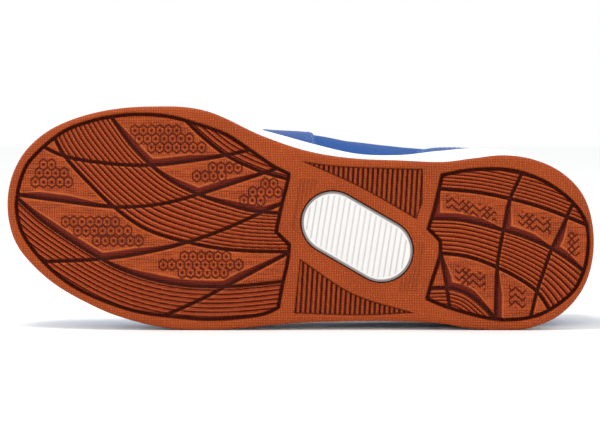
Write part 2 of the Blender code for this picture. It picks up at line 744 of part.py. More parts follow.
# Top edge of the toe cap, bottom edge of the eyestay and top edge of the heel counter:
# side, share of the length at the sole, height on the upper
TOE_CAP_TOP = [
    ("medial", 0.36, 0.10),
    ("medial", 0.28, 0.24),
    ("medial", 0.16, 0.36),
    ("medial", 0.05, 0.45),
    ("toe", 0.0, 0.47),
    ("lateral", 0.05, 0.45),
    ("lateral", 0.16, 0.36),
    ("lateral", 0.28, 0.24),
    ("lateral", 0.38, 0.10),
]
EYESTAY_LOW = [
    ("medial", 0.655, 0.70),
    ("medial", 0.58, 0.66),
    ("medial", 0.50, 0.70),
    ("medial", 0.40, 0.74),
    ("medial", 0.28, 0.79),
    ("medial", 0.14, 0.81),
    ("toe", 0.0, 0.80),
    ("lateral", 0.14, 0.81),
    ("lateral", 0.28, 0.79),
    ("lateral", 0.40, 0.74),
    ("lateral", 0.50, 0.70),
    ("lateral", 0.58, 0.66),
    ("lateral", 0.655, 0.70),
]
COUNTER_TOP = [
    ("medial", 0.70, 0.12),
    ("medial", 0.78, 0.34),
    ("medial", 0.88, 0.52),
    ("medial", 0.96, 0.62),
    ("heel", 1.0, 0.66),
    ("lateral", 0.96, 0.62),
    ("lateral", 0.88, 0.52),
    ("lateral", 0.78, 0.34),
    ("lateral", 0.70, 0.12),
]
OVERLAY_FOOT = 0.075


def overlay_line(rows, around_toe):
    """Turns and heights of the rows, as one run that passes the toe or the heel."""
    keys = [turn_of(side, along) for side, along, height in rows]
    if around_toe:
        keys = [key - 2 if side == "lateral" else key for key, (side, along, height) in zip(keys, rows)]
    heights = [height for side, along, height in rows]
    order = np.argsort(keys)
    return np.array(keys)[order], np.array(heights)[order]


def toe_cap():
    keys, heights = overlay_line(TOE_CAP_TOP, True)
    turns = np.linspace(keys[0], keys[-1], 25)
    return overlay("toe_cap", turns, np.full_like(turns, OVERLAY_FOOT), smooth(keys, heights, turns), 5)


def eyestay():
    keys, heights = overlay_line(EYESTAY_LOW, True)
    turns = np.linspace(keys[0], keys[-1], 47)
    return overlay("eyestay", turns, smooth(keys, heights, turns), np.full_like(turns, 0.985), 3)


def heel_counter():
    keys, heights = overlay_line(COUNTER_TOP, False)
    turns = np.linspace(keys[0], keys[-1], 23)
    return overlay("heel_counter", turns, np.full_like(turns, OVERLAY_FOOT), smooth(keys, heights, turns), 5)


def insole(turns):
    along = along_of(turns)
    seat = midsole_top(along) - CUP_DEPTH + SEAT_GAP
    inner = feather_inset(turns) - WALL - INSOLE_GAP
    rings = []
    for out, rise in ((-INSOLE_LOW_INSET, 0.0), (0.0, INSOLE_ROUND),
                      (0.0, INSOLE_THICKNESS - INSOLE_ROUND), (-INSOLE_TOP_INSET, INSOLE_THICKNESS)):
        x, y, side = sole_outline(turns, inner + out)
        rings.append(np.stack((x, y, seat + rise), axis=-1))
    return sole_solid("insole", rings)


# Tongue: share of the length, crown height (collar height), middle and half width (ball width)
TONGUE_SECTIONS = [
    (0.280, 0.570, -0.045, 0.150),
    (0.330, 0.650, -0.045, 0.165),
    (0.390, 0.748, -0.045, 0.175),
    (0.440, 0.838, -0.045, 0.185),
    (0.508, 0.970, -0.042, 0.195),
    (0.560, 1.080, -0.048, 0.185),
    (0.600, 1.175, -0.046, 0.185),
    (0.628, 1.245, -0.042, 0.180),
    (0.640, 1.275, -0.032, 0.160),
]
TONGUE_FALL = 0.16
TONGUE_SEARCH = 22 * MM
TONGUE_SIDE_ROOM = 4.5 * MM
TONGUE_ROWS = 13
TONGUE_COLUMNS = 9


def height_probe(solids):
    """Function that gives the distance from a point to the first face of the solids in a direction."""
    trees = []
    for solid in solids:
        shape = bmesh.new()
        shape.from_mesh(solid.data)
        trees.append(BVHTree.FromBMesh(shape))
        shape.free()

    def probe(x, y, start, direction):
        best = None
        for tree in trees:
            hit, normal, index, distance = tree.ray_cast(Vector((x, y, start)), Vector(direction))
            if hit is not None and (best is None or distance < best):
                best = distance
        return best

    return probe


def tongue(upper_solid):
    probe = height_probe([upper_solid])
    keys = [row[0] for row in TONGUE_SECTIONS]
    along = np.linspace(keys[0], keys[-1], TONGUE_ROWS)
    crown = smooth(keys, [row[1] for row in TONGUE_SECTIONS], along) * COLLAR_HEIGHT
    middle = smooth(keys, [row[2] for row in TONGUE_SECTIONS], along) * BALL_WIDTH
    half = smooth(keys, [row[3] for row in TONGUE_SECTIONS], along) * BALL_WIDTH
    across = np.linspace(-1, 1, TONGUE_COLUMNS)
    top = np.empty((TONGUE_ROWS, TONGUE_COLUMNS, 3))
    for row in range(TONGUE_ROWS):
        for index, share in enumerate(across):
            x = (along[row] - 0.5) * LENGTH
            y = middle[row] + half[row] * share
            top[row, index] = (x, y, crown[row] - TONGUE_FALL * COLLAR_HEIGHT * abs(share) ** 2.2)
    slope = np.gradient(top, axis=0)
    spread = np.gradient(top, axis=1)
    down = np.cross(slope, spread)
    down /= np.linalg.norm(down, axis=-1, keepdims=True)
    down *= -np.sign(down[..., 2:3])
    for row in range(TONGUE_ROWS):
        for index in range(TONGUE_COLUMNS):
            x, y, z = top[row, index]
            hand = 1 if y > middle[row] else -1
            room = probe(x, middle[row], z - TONGUE_SEARCH, (0, hand, 0))
            if room is not None:
                y = middle[row] + hand * min(abs(y - middle[row]), room - TONGUE_SIDE_ROOM)
            ceiling = probe(x, y, z - TONGUE_SEARCH, (0, 0, 1))
            if ceiling is not None:
                z = min(z, z - TONGUE_SEARCH + ceiling - TONGUE_GAP)
            top[row, index] = (x, y, z)
    edge_share = np.clip(np.minimum(1 - abs(across), 0.25) / 0.25, 0.35, 1)
    bottom = top + down * (TONGUE_THICKNESS * edge_share)[None, :, None]
    count = TONGUE_ROWS * TONGUE_COLUMNS
    points = np.concatenate((top.reshape(-1, 3), bottom.reshape(-1, 3)))
    faces = []
    for row in range(TONGUE_ROWS - 1):
        for index in range(TONGUE_COLUMNS - 1):
            a = row * TONGUE_COLUMNS + index
            b = a + TONGUE_COLUMNS
            faces.append((a, a + 1, b + 1, b))
            faces.append((count + a, count + b, count + b + 1, count + a + 1))
    for row in range(TONGUE_ROWS - 1):
        for index in (0, TONGUE_COLUMNS - 1):
            a = row * TONGUE_COLUMNS + index
            b = a + TONGUE_COLUMNS
            faces.append((a, b, count + b, count + a))
    for row in (0, TONGUE_ROWS - 1):
        for index in range(TONGUE_COLUMNS - 1):
            a = row * TONGUE_COLUMNS + index
            faces.append((a, a + 1, count + a + 1, count + a))
    return add_solid("tongue", points, faces)


# Eyelet rows: share of the length at the sole of the first and the last one, and their height
EYELET_FIRST = 0.285
EYELET_LAST = 0.575
EYELET_LEVEL = 0.93
LACE_STEPS = 6


def eyelet(side, row):
    share = row / (EYELET_ROWS - 1)
    turn = turn_of(side, EYELET_FIRST + (EYELET_LAST - EYELET_FIRST) * share)
    outwards = OVERLAY_GAP + OVERLAY_THICKNESS
    return upper_at(np.array([turn]), np.array([EYELET_LEVEL]), np.array([outwards]))[0]


def lace_strip(name, start, end, probe, over):
    """Flat strip pulled tight from one eyelet to another over what lies between them."""
    shares = np.linspace(0, 1, LACE_STEPS + 1)
    run = end - start
    side = np.array((-run[1], run[0], 0.0))
    side *= LACE_WIDTH / 2 / np.linalg.norm(side)
    under = []
    for share in shares:
        tallest = -1.0
        for nearby in (-0.6, -0.3, 0, 0.3, 0.6):
            middle = start + run * (share + nearby / LACE_STEPS)
            for place_on in (-1.1, -0.5, 0, 0.5, 1.1):
                x, y = (middle + side * place_on)[:2]
                drop = probe(x, y, 2 * COLLAR_HEIGHT, (0, 0, -1))
                if drop is not None:
                    tallest = max(tallest, 2 * COLLAR_HEIGHT - drop)
        under.append(tallest)
    hull = list(under)
    for index in range(len(shares)):
        for before in range(index):
            for after in range(index + 1, len(shares)):
                part = (shares[index] - shares[before]) / (shares[after] - shares[before])
                hull[index] = max(hull[index], under[before] + (under[after] - under[before]) * part)
    points = []
    for share, height in zip(shares, hull):
        middle = start + run * share
        low = height + LACE_GAP + over
        for place_on, rise in ((-1, 0), (1, 0), (1, LACE_THICKNESS), (-1, LACE_THICKNESS)):
            x, y = (middle + side * place_on)[:2]
            points.append((x, y, low + rise))
    faces = [(0, 1, 2, 3)]
    for index in range(LACE_STEPS):
        a = 4 * index
        b = a + 4
        for corner in range(4):
            after = (corner + 1) % 4
            faces.append((a + corner, a + after, b + after, b + corner))
    last = 4 * LACE_STEPS
    faces.append((last, last + 1, last + 2, last + 3))
    return add_solid(name, points, faces)


def lace(solids):
    probe = height_probe(solids)
    net = lace_strip("lace", eyelet("medial", 0), eyelet("lateral", 0), probe, 0.0)
    for row in range(EYELET_ROWS - 1):
        for start_side, end_side, over in (("medial", "lateral", 0.0), ("lateral", "medial", LACE_OVER)):
            strip = lace_strip("lace_strip_%d_%s" % (row, start_side), eyelet(start_side, row),
                               eyelet(end_side, row + 1), probe, over + LACE_ROW_RISE * (row + 1))
            boolean(net, strip, "UNION")
    return net


def settle(solids):
    """Turn the shoe from standing to lying on the lateral side, on the sole's edge and the upper.

    The sole's plane is turned upright first. A tilt then brings the upper down to the floor,
    and a roll brings the ball and the heel of the sole's edge down together.
    """
    clouds = []
    for solid in solids:
        points = np.array([tuple(vertex.co) for vertex in solid.data.vertices])
        clouds.append(np.stack((points[:, 0], points[:, 2], -points[:, 1]), axis=1))
    sole = np.concatenate([cloud for solid, cloud in zip(solids, clouds) if solid.name in ("outsole", "midsole")])
    rest = np.concatenate([cloud for solid, cloud in zip(solids, clouds)
                           if solid.name not in ("outsole", "midsole")])
    tilt = 0.0
    roll = 0.0

    def lowest(cloud, tilt, roll):
        turned = turn_matrix(tilt, roll) @ cloud.T
        return turned[2].min()

    front = sole[sole[:, 0] < 0]
    back = sole[sole[:, 0] > 0]
    for repeat in range(12):
        low, high = 0.0, math.radians(30)
        for step in range(40):
            tilt = (low + high) / 2
            if lowest(rest, tilt, roll) > lowest(sole, tilt, roll):
                low = tilt
            else:
                high = tilt
        low, high = math.radians(-4), math.radians(4)
        for step in range(40):
            roll = (low + high) / 2
            if lowest(front, tilt, roll) > lowest(back, tilt, roll):
                low = roll
            else:
                high = roll
    matrix = turn_matrix(tilt, roll)
    everything = (matrix @ np.concatenate(clouds).T).T
    middle = (everything.min(axis=0) + everything.max(axis=0)) / 2
    shift = np.array((middle[0], middle[1], everything[:, 2].min()))
    print("tilt_deg %.4f roll_deg %.4f shift_mm %.4f %.4f %.4f"
          % (math.degrees(tilt), math.degrees(roll), *(shift / MM)))
    for solid, cloud in zip(solids, clouds):
        moved = (matrix @ cloud.T).T - shift
        for vertex, point in zip(solid.data.vertices, moved):
            vertex.co = point
        solid.data.update()


def turn_matrix(tilt, roll):
    """Tilt about X lowers what is far from the sole; roll about Y lowers the toe."""
    tilt_turn = np.array(((1, 0, 0),
                          (0, math.cos(tilt), math.sin(tilt)),
                          (0, -math.sin(tilt), math.cos(tilt))))
    roll_turn = np.array(((math.cos(roll), 0, -math.sin(roll)),
                          (0, 1, 0),
                          (math.sin(roll), 0, math.cos(roll))))
    return roll_turn @ tilt_turn


def paint(solid, name, colour, roughness):
    material = bpy.data.materials.new(name)
    material.use_nodes = True
    shader = material.node_tree.nodes["Principled BSDF"]
    shader.inputs["Base Color"].default_value = (*colour, 1)
    shader.inputs["Roughness"].default_value = roughness
    shader.inputs["Metallic"].default_value = 0
    solid.data.materials.clear()
    solid.data.materials.append(material)


def build():
    for old in list(bpy.data.objects):
        bpy.data.objects.remove(old)
    turns = np.arange(TURNS) * 2 / TURNS
    shell = upper(turns)
    over_toe = toe_cap()
    stay = eyestay()
    counter = heel_counter()
    flap = tongue(shell)
    solids = [outsole(turns), waist_insert(), midsole(turns), shell, over_toe, stay, counter, flap,
              insole(turns), lace([shell, stay, flap])]
    settle(solids)
    colours = {
        "outsole": ("gum_rubber", (0.40, 0.12, 0.035), 0.55),
        "waist_insert": ("white_rubber", (0.85, 0.84, 0.82), 0.50),
        "midsole": ("white_foam", (0.86, 0.86, 0.85), 0.55),
        "upper": ("blue_upper", (0.02, 0.09, 0.33), 0.60),
        "toe_cap": ("blue_overlay", (0.02, 0.085, 0.32), 0.50),
        "eyestay": ("blue_overlay", (0.02, 0.085, 0.32), 0.50),
        "heel_counter": ("blue_overlay", (0.02, 0.085, 0.32), 0.50),
        "tongue": ("blue_upper", (0.02, 0.09, 0.33), 0.70),
        "insole": ("dark_lining", (0.03, 0.04, 0.07), 0.80),
        "lace": ("white_lace", (0.80, 0.80, 0.79), 0.70),
    }
    empty = bpy.data.objects.new("shoe", None)
    bpy.context.scene.collection.objects.link(empty)
    for solid in solids:
        name, colour, roughness = colours[solid.name]
        paint(solid, name, colour, roughness)
        solid.parent = empty


build()
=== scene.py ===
import math
import bpy
import bmesh
import numpy as np
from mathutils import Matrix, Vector
from mathutils.bvhtree import BVHTree


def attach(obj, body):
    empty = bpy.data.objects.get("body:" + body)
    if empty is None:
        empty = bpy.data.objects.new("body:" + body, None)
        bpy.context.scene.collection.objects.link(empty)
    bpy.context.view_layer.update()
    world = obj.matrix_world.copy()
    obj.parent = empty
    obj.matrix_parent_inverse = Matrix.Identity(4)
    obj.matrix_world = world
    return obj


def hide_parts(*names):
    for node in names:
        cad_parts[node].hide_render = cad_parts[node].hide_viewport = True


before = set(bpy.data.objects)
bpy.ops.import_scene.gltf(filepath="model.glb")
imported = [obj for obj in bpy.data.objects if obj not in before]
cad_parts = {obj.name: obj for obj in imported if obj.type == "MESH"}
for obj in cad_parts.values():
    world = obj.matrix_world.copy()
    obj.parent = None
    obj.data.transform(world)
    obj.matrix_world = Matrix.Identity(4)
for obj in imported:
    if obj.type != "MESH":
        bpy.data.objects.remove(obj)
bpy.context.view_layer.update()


# Table, light and camera
# A white studio table with large soft lamps. The camera looks at the ground side of the sole,
# a little from above, as the photograph does, and the shoe's own floor is the table.
MM = 0.001
TABLE_HALF = 2.5
SHOT_WIDTH = 297.2 * MM
SHOT_DISTANCE = 1.9
SHOT_RISE_DEG = 3.0
SHOT_TARGET = Vector((0.0, -0.060, 0.0592))
SENSOR_WIDTH = 36
LAMP_TARGET = Vector((0, -0.02, 0.05))


def add_object(name, data):
    """Object with its data, linked to the scene."""
    made = bpy.data.objects.new(name, data)
    bpy.context.scene.collection.objects.link(made)
    return made


def new_material(name, roughness, specular=0.5):
    """Material and its shader, whose plain values are set on the shader itself."""
    material = bpy.data.materials.new(name)
    material.use_nodes = True
    shader = material.node_tree.nodes["Principled BSDF"]
    shader.inputs["Roughness"].default_value = roughness
    shader.inputs["Specular IOR Level"].default_value = specular
    return material, shader


table_mesh = bpy.data.meshes.new("table")
table_corners = [(x * TABLE_HALF, y * TABLE_HALF, 0) for x, y in ((-1, -1), (1, -1), (1, 1), (-1, 1))]
table_mesh.from_pydata(table_corners, [], [(0, 1, 2, 3)])
table = add_object("table", table_mesh)
bpy.context.scene.view_settings.view_transform = "Standard"
table_finish, table_shader = new_material("table_white", 0.65, 0.2)
table_shader.inputs["Base Color"].default_value = (0.93, 0.94, 0.935, 1)
table_mesh.materials.append(table_finish)

studio = bpy.data.worlds.new("studio")
bpy.context.scene.world = studio
studio.use_nodes = True
backdrop = studio.node_tree.nodes["Background"]
backdrop.inputs["Color"].default_value = (1.0, 1.0, 1.0, 1)
backdrop.inputs["Strength"].default_value = 1.0

# name, place, size, watts: each lamp looks at the middle of the shoe
LAMPS = [
    ("lamp_top", (-0.25, -0.30, 1.35), 0.50, 8.5),
    ("lamp_left", (-1.10, -0.90, 0.65), 0.45, 1.4),
    ("lamp_front", (0.35, -1.60, 0.55), 0.90, 0.6),
    ("lamp_back", (0.30, 1.10, 1.10), 0.90, 0.8),
]
for name, spot, size, watts in LAMPS:
    lamp_data = bpy.data.lights.new(name, "AREA")
    lamp_data.shape = "DISK"
    lamp_data.size = size
    lamp_data.energy = watts
    lamp = add_object(name, lamp_data)
    lamp.location = spot
    lamp.rotation_euler = (LAMP_TARGET - lamp.location).to_track_quat("-Z", "Y").to_euler()

camera_data = bpy.data.cameras.new("camera")
camera = add_object("camera", camera_data)
bpy.context.scene.camera = camera
rise = math.radians(SHOT_RISE_DEG)
camera.location = SHOT_TARGET + SHOT_DISTANCE * Vector((0, -math.cos(rise), math.sin(rise)))
camera.rotation_euler = (SHOT_TARGET - camera.location).to_track_quat("-Z", "Y").to_euler()
camera_data.sensor_width = SENSOR_WIDTH
camera_data.lens = SENSOR_WIDTH * SHOT_DISTANCE / SHOT_WIDTH
camera_data.clip_start = 0.05


# Outsole
# One moulding of gum rubber: a rounded rim, a forefoot and a heel field of curved blocks and
# ribs parted by deep grooves, and a plain waist with two ribbed pockets and a slanted window.
# It is worked out standing, toe to -X and medial side to -Y, then laid over as the solids lie.
LENGTH = 292 * MM
BALL_WIDTH = 109.5 * MM
LIE_TILT_DEG = 1.8979
LIE_ROLL_DEG = 0.0177
LIE_SHIFT = (-0.0018 * MM, 59.8519 * MM, -46.8305 * MM)
RIM_RADIUS = 2.4 * MM
RIM_TOP_INSET = 1.2 * MM
SIDE_HEIGHT = 6 * MM
TOE_WRAP = 4 * MM
TOE_SPRING = 12 * MM
TOE_SPRING_SHARE = 0.27
ARCH_LIFT = 1.6 * MM
HEEL_BEVEL = 2.2 * MM
HEEL_BEVEL_SHARE = 0.13
GROOVE_HALF = 0.82 * MM
GROOVE_DEPTH = 2.1 * MM
BORDER_DEPTH = 2.3 * MM
WALL_SLOPE = 0.60 * MM
FIELD_DROP = 0.25 * MM
RIB_DEPTH = 1.15 * MM
BEVEL_WIDTH = 2.3 * MM
BEVEL_DEPTH = 1.6 * MM
POCKET_DEPTH = 1.4 * MM
WINDOW_CENTRE = (0.597, 0.004)
WINDOW_LENGTH = 60 * MM
WINDOW_WIDTH = 32 * MM
WINDOW_TURN_DEG = 30
WINDOW_DEPTH = 3.4 * MM
WELD_DISTANCE = 2e-6
RIM_STEPS = 5


def smooth(keys, values, at, period=None):
    """Cubic curve through the rows of a table, closed on itself when it has a period."""
    keys = np.asarray(keys, float)
    values = np.asarray(values, float)
    at = np.asarray(at, float)
    if period:
        at = np.mod(at, period)
        keys = np.concatenate((keys[-3:] - period, keys, keys[:3] + period))
        values = np.concatenate((values[-3:], values, values[:3]))
    slopes = np.empty_like(values)
    slopes[1:-1] = (values[2:] - values[:-2]) / (keys[2:] - keys[:-2])
    slopes[0] = (values[1] - values[0]) / (keys[1] - keys[0])
    slopes[-1] = (values[-1] - values[-2]) / (keys[-1] - keys[-2])
    low = np.clip(np.searchsorted(keys, at, side="right") - 1, 0, len(keys) - 2)
    span = keys[low + 1] - keys[low]
    share = np.clip((at - keys[low]) / span, 0, 1)
    cube = share ** 3
    square = share ** 2
    return ((2 * cube - 3 * square + 1) * values[low]
            + (cube - 2 * square + share) * span * slopes[low]
            + (3 * square - 2 * cube) * values[low + 1]
            + (cube - square) * span * slopes[low + 1])


def ramp(value, start, end):
    """Soft step from 0 at start to 1 at end."""
    share = np.clip((np.asarray(value, float) - start) / (end - start), 0, 1)
    return share * share * (3 - 2 * share)


def turn_of(side, along):
    """Turn round the shoe: 0 at the toe, 1 at the heel, 2 at the toe again by the lateral side."""
    turn = math.acos(1 - 2 * along) / math.pi
    return turn if side != "lateral" else 2 - turn


def along_of(turn):
    """Share of the length, from toe to heel, at a turn."""
    return (1 - np.cos(math.pi * np.asarray(turn, float))) / 2


# Ground edge of the outsole: side, share of the length, share of the ball width (medial minus)
SOLE_EDGE = [
    ("toe", 0.0, -0.140), ("medial", 0.012, -0.297), ("medial", 0.037, -0.401),
    ("medial", 0.084, -0.495), ("medial", 0.160, -0.563), ("medial", 0.245, -0.586),
    ("medial", 0.338, -0.568), ("medial", 0.439, -0.450), ("medial", 0.515, -0.383),
    ("medial", 0.591, -0.351), ("medial", 0.667, -0.342), ("medial", 0.743, -0.335),
    ("medial", 0.794, -0.351), ("medial", 0.845, -0.365), ("medial", 0.895, -0.347),
    ("medial", 0.946, -0.284), ("medial", 0.986, -0.160), ("heel", 1.0, 0.030),
    ("lateral", 0.986, 0.216), ("lateral", 0.946, 0.351), ("lateral", 0.895, 0.415),
    ("lateral", 0.845, 0.428), ("lateral", 0.794, 0.421), ("lateral", 0.730, 0.396),
    ("lateral", 0.642, 0.387), ("lateral", 0.566, 0.389), ("lateral", 0.490, 0.397),
    ("lateral", 0.414, 0.415), ("lateral", 0.338, 0.428), ("lateral", 0.262, 0.413),
    ("lateral", 0.186, 0.361), ("lateral", 0.135, 0.302), ("lateral", 0.084, 0.225),
    ("lateral", 0.042, 0.130), ("lateral", 0.012, 0.020),
]
EDGE_TURNS = [turn_of(side, along) for side, along, across in SOLE_EDGE]
EDGE_ACROSS = [across for side, along, across in SOLE_EDGE]


def place(along, across):
    """Point in metres from shares of the length and of the ball width."""
    return (np.asarray(along, float) - 0.5) * LENGTH, np.asarray(across, float) * BALL_WIDTH


def sole_outline(turns, outwards):
    """Plan of the sole at each turn, moved outwards by a distance, and the outward direction."""
    step = 0.004
    here, before, after = [place(along_of(at), smooth(EDGE_TURNS, EDGE_ACROSS, at, 2))
                           for at in (turns, turns - step, turns + step)]
    run = np.stack(after, axis=-1) - np.stack(before, axis=-1)
    run /= np.linalg.norm(run, axis=-1, keepdims=True)
    out = np.stack((run[..., 1], -run[..., 0]), axis=-1)
    return here[0] + out[..., 0] * outwards, here[1] + out[..., 1] * outwards, out


def lift(along):
    """Height of the ground side of the sole above the floor that the shoe would stand on."""
    toe = np.clip((TOE_SPRING_SHARE - along) / TOE_SPRING_SHARE, 0, None) ** 2
    heel = np.clip((along - 1 + HEEL_BEVEL_SHARE) / HEEL_BEVEL_SHARE, 0, None) ** 2
    arch = ramp(along, 0.42, 0.54) * (1 - ramp(along, 0.66, 0.76))
    return TOE_SPRING * toe + HEEL_BEVEL * heel + ARCH_LIFT * arch


def side_top(along):
    """Height where the gum side ends and the white midsole begins."""
    return lift(along) + SIDE_HEIGHT + TOE_WRAP * (1 - ramp(along, 0.0, 0.16))


tilt = math.radians(LIE_TILT_DEG)
roll = math.radians(LIE_ROLL_DEG)
TILT_TURN = np.array(((1, 0, 0), (0, math.cos(tilt), math.sin(tilt)), (0, -math.sin(tilt), math.cos(tilt))))
ROLL_TURN = np.array(((math.cos(roll), 0, -math.sin(roll)), (0, 1, 0), (math.sin(roll), 0, math.cos(roll))))
LIE_TURN = ROLL_TURN @ TILT_TURN


def lay_over(points):
    """Standing points to where the shoe lies on its lateral side."""
    points = np.asarray(points, float)
    lying = np.stack((points[:, 0], points[:, 2], -points[:, 1]), axis=1)
    return lying @ LIE_TURN.T - np.array(LIE_SHIFT)


def curve_path(rows, steps):
    """Smooth open path through rows of shares of the length and the ball width."""
    x, y = place([row[0] for row in rows], [row[1] for row in rows])
    keys = np.concatenate(([0], np.cumsum(np.hypot(np.diff(x), np.diff(y)))))
    at = np.linspace(0, keys[-1], steps)
    return np.stack((smooth(keys, x, at), smooth(keys, y, at)), axis=1)


def field_outline(rows, spacing):
    """Closed path through rows of shares; the rows marked corner stay sharp."""
    corners = [index for index, row in enumerate(rows) if row[2] == "corner"]
    pieces = []
    for number, start in enumerate(corners):
        end = corners[(number + 1) % len(corners)]
        if end <= start:
            end += len(rows)
        run = [rows[index % len(rows)] for index in range(start, end + 1)]
        x, y = place([row[0] for row in run], [row[1] for row in run])
        length = np.sum(np.hypot(np.diff(x), np.diff(y)))
        pieces.append(curve_path(run, max(2, int(round(length / spacing)) + 1))[:-1])
    return np.concatenate(pieces)


def path_distance(points, path, closed=False):
    """Signed distance to a path: plus on its right hand, where y grows along +x, or inside a loop."""
    start = path if closed else path[:-1]
    end = np.roll(path, -1, axis=0) if closed else path[1:]
    best = np.full(len(points), 1e9)
    side = np.zeros(len(points))
    inside = np.zeros(len(points), bool)
    for (ax, ay), (bx, by) in zip(start, end):
        dx, dy = bx - ax, by - ay
        px, py = points[:, 0] - ax, points[:, 1] - ay
        share = np.clip((px * dx + py * dy) / (dx * dx + dy * dy), 0, 1)
        distance = (px - share * dx) ** 2 + (py - share * dy) ** 2
        nearer = distance < best
        best = np.where(nearer, distance, best)
        side = np.where(nearer, dx * py - dy * px, side)
        if closed:
            crosses = (ay > points[:, 1]) != (by > points[:, 1])
            reach = (bx - ax) * (points[:, 1] - ay) / (by - ay if by != ay else 1e-12) + ax
            inside ^= crosses & (points[:, 0] < reach)
    best = np.sqrt(best)
    if closed:
        return np.where(inside, best, -best)
    return np.where(side >= 0, best, -best)


# Tread fields: share of the length, share of the ball width, kind of point
FOREFOOT_FIELD = [
    (0.016, -0.140, "soft"), (0.024, -0.257, "soft"), (0.041, -0.345, "soft"), (0.095, -0.468, "soft"),
    (0.142, -0.518, "soft"), (0.183, -0.541, "soft"), (0.225, -0.550, "soft"), (0.272, -0.543, "soft"),
    (0.311, -0.518, "soft"), (0.372, -0.462, "soft"), (0.409, -0.400, "soft"), (0.4535, -0.318, "soft"),
    (0.482, -0.279, "corner"), (0.478, -0.234, "soft"), (0.468, -0.126, "soft"), (0.4595, -0.018, "corner"),
    (0.482, 0.0405, "corner"), (0.479, 0.117, "soft"), (0.471, 0.212, "soft"), (0.463, 0.325, "corner"),
    (0.441, 0.352, "soft"), (0.399, 0.370, "soft"), (0.348, 0.378, "soft"), (0.296, 0.369, "soft"),
    (0.228, 0.345, "soft"), (0.174, 0.302, "soft"), (0.130, 0.252, "soft"), (0.0946, 0.194, "soft"),
    (0.0625, 0.118, "soft"), (0.0346, 0.027, "soft"), (0.022, -0.040, "soft"),
]
HEEL_FIELD = [
    (0.7415, -0.275, "corner"), (0.785, -0.297, "soft"), (0.8395, -0.302, "soft"), (0.880, -0.284, "soft"),
    (0.9257, -0.230, "soft"), (0.966, -0.143, "soft"), (0.9865, -0.055, "soft"), (0.990, 0.040, "soft"),
    (0.983, 0.153, "soft"), (0.9645, 0.250, "soft"), (0.9257, 0.333, "soft"), (0.8936, 0.368, "soft"),
    (0.850, 0.381, "soft"), (0.8176, 0.372, "soft"), (0.753, 0.326, "soft"), (0.716, 0.2856, "corner"),
    (0.723, 0.216, "soft"), (0.738, 0.0856, "soft"), (0.738, 0.0225, "corner"), (0.718, -0.0315, "corner"),
    (0.728, -0.1216, "soft"),
]
# Long grooves from the toe back, then the slanted grooves that cross them, and their likes in the
# heel. The end points lie past the field, so that every groove parts it from side to side.
FOREFOOT_LONG = [
    [(0.010, -0.500), (0.056, -0.415), (0.101, -0.360), (0.181, -0.326), (0.248, -0.320), (0.312, -0.338),
     (0.373, -0.365), (0.450, -0.410)],
    [(-0.020, -0.205), (0.019, -0.185), (0.093, -0.158), (0.186, -0.131), (0.262, -0.144), (0.329, -0.189),
     (0.397, -0.248), (0.500, -0.340)],
    [(0.000, 0.126), (0.052, 0.121), (0.093, 0.115), (0.169, 0.104), (0.245, 0.072), (0.311, 0.027),
     (0.373, -0.032), (0.441, -0.113), (0.510, -0.195)],
    [(0.200, 0.430), (0.265, 0.366), (0.329, 0.291), (0.373, 0.230), (0.424, 0.158), (0.520, 0.020)],
]
FOREFOOT_SLANTED = [
    [(-0.020, -0.260), (0.022, -0.158), (0.050, -0.090), (0.084, -0.023), (0.155, 0.095), (0.211, 0.167),
     (0.272, 0.212), (0.329, 0.230), (0.397, 0.227), (0.510, 0.195)],
    [(0.060, -0.600), (0.083, -0.441), (0.101, -0.356), (0.140, -0.243), (0.182, -0.135), (0.238, -0.032),
     (0.307, 0.027), (0.383, 0.063), (0.510, 0.074)],
    [(0.157, -0.635), (0.182, -0.527), (0.215, -0.405), (0.247, -0.320), (0.282, -0.248), (0.326, -0.189),
     (0.380, -0.140), (0.422, -0.112), (0.510, -0.097)],
    [(0.270, -0.631), (0.306, -0.523), (0.338, -0.441), (0.375, -0.365), (0.414, -0.313), (0.443, -0.284),
     (0.520, -0.228)],
]
HEEL_LONG = [
    [(0.690, -0.222), (0.740, -0.212), (0.801, -0.197), (0.856, -0.168), (0.904, -0.134), (0.951, -0.088),
     (1.030, 0.000)],
    [(0.690, -0.080), (0.725, -0.077), (0.775, -0.070), (0.845, -0.025), (0.883, 0.007), (0.927, 0.059),
     (0.975, 0.146), (1.020, 0.250)],
    [(0.690, 0.072), (0.740, 0.079), (0.787, 0.096), (0.834, 0.142), (0.872, 0.194), (0.902, 0.252),
     (0.924, 0.338), (0.940, 0.430)],
    [(0.680, 0.245), (0.723, 0.236), (0.753, 0.236), (0.782, 0.259), (0.807, 0.309), (0.831, 0.374),
     (0.850, 0.440)],
]
HEEL_CROSS = [
    [(0.898, -0.400), (0.882, -0.320), (0.873, -0.262), (0.856, -0.162), (0.846, -0.032), (0.836, 0.117),
     (0.833, 0.243), (0.832, 0.440)],
    [(1.005, -0.260), (0.966, -0.151), (0.946, -0.041), (0.927, 0.063), (0.914, 0.162), (0.902, 0.257),
     (0.886, 0.440)],
]
HEEL_SHORT = [(0.737, 0.060), (0.745, 0.167), (0.750, 0.248), (0.756, 0.350)]
SHORT_GROOVE_REACH = 0.27 * LENGTH
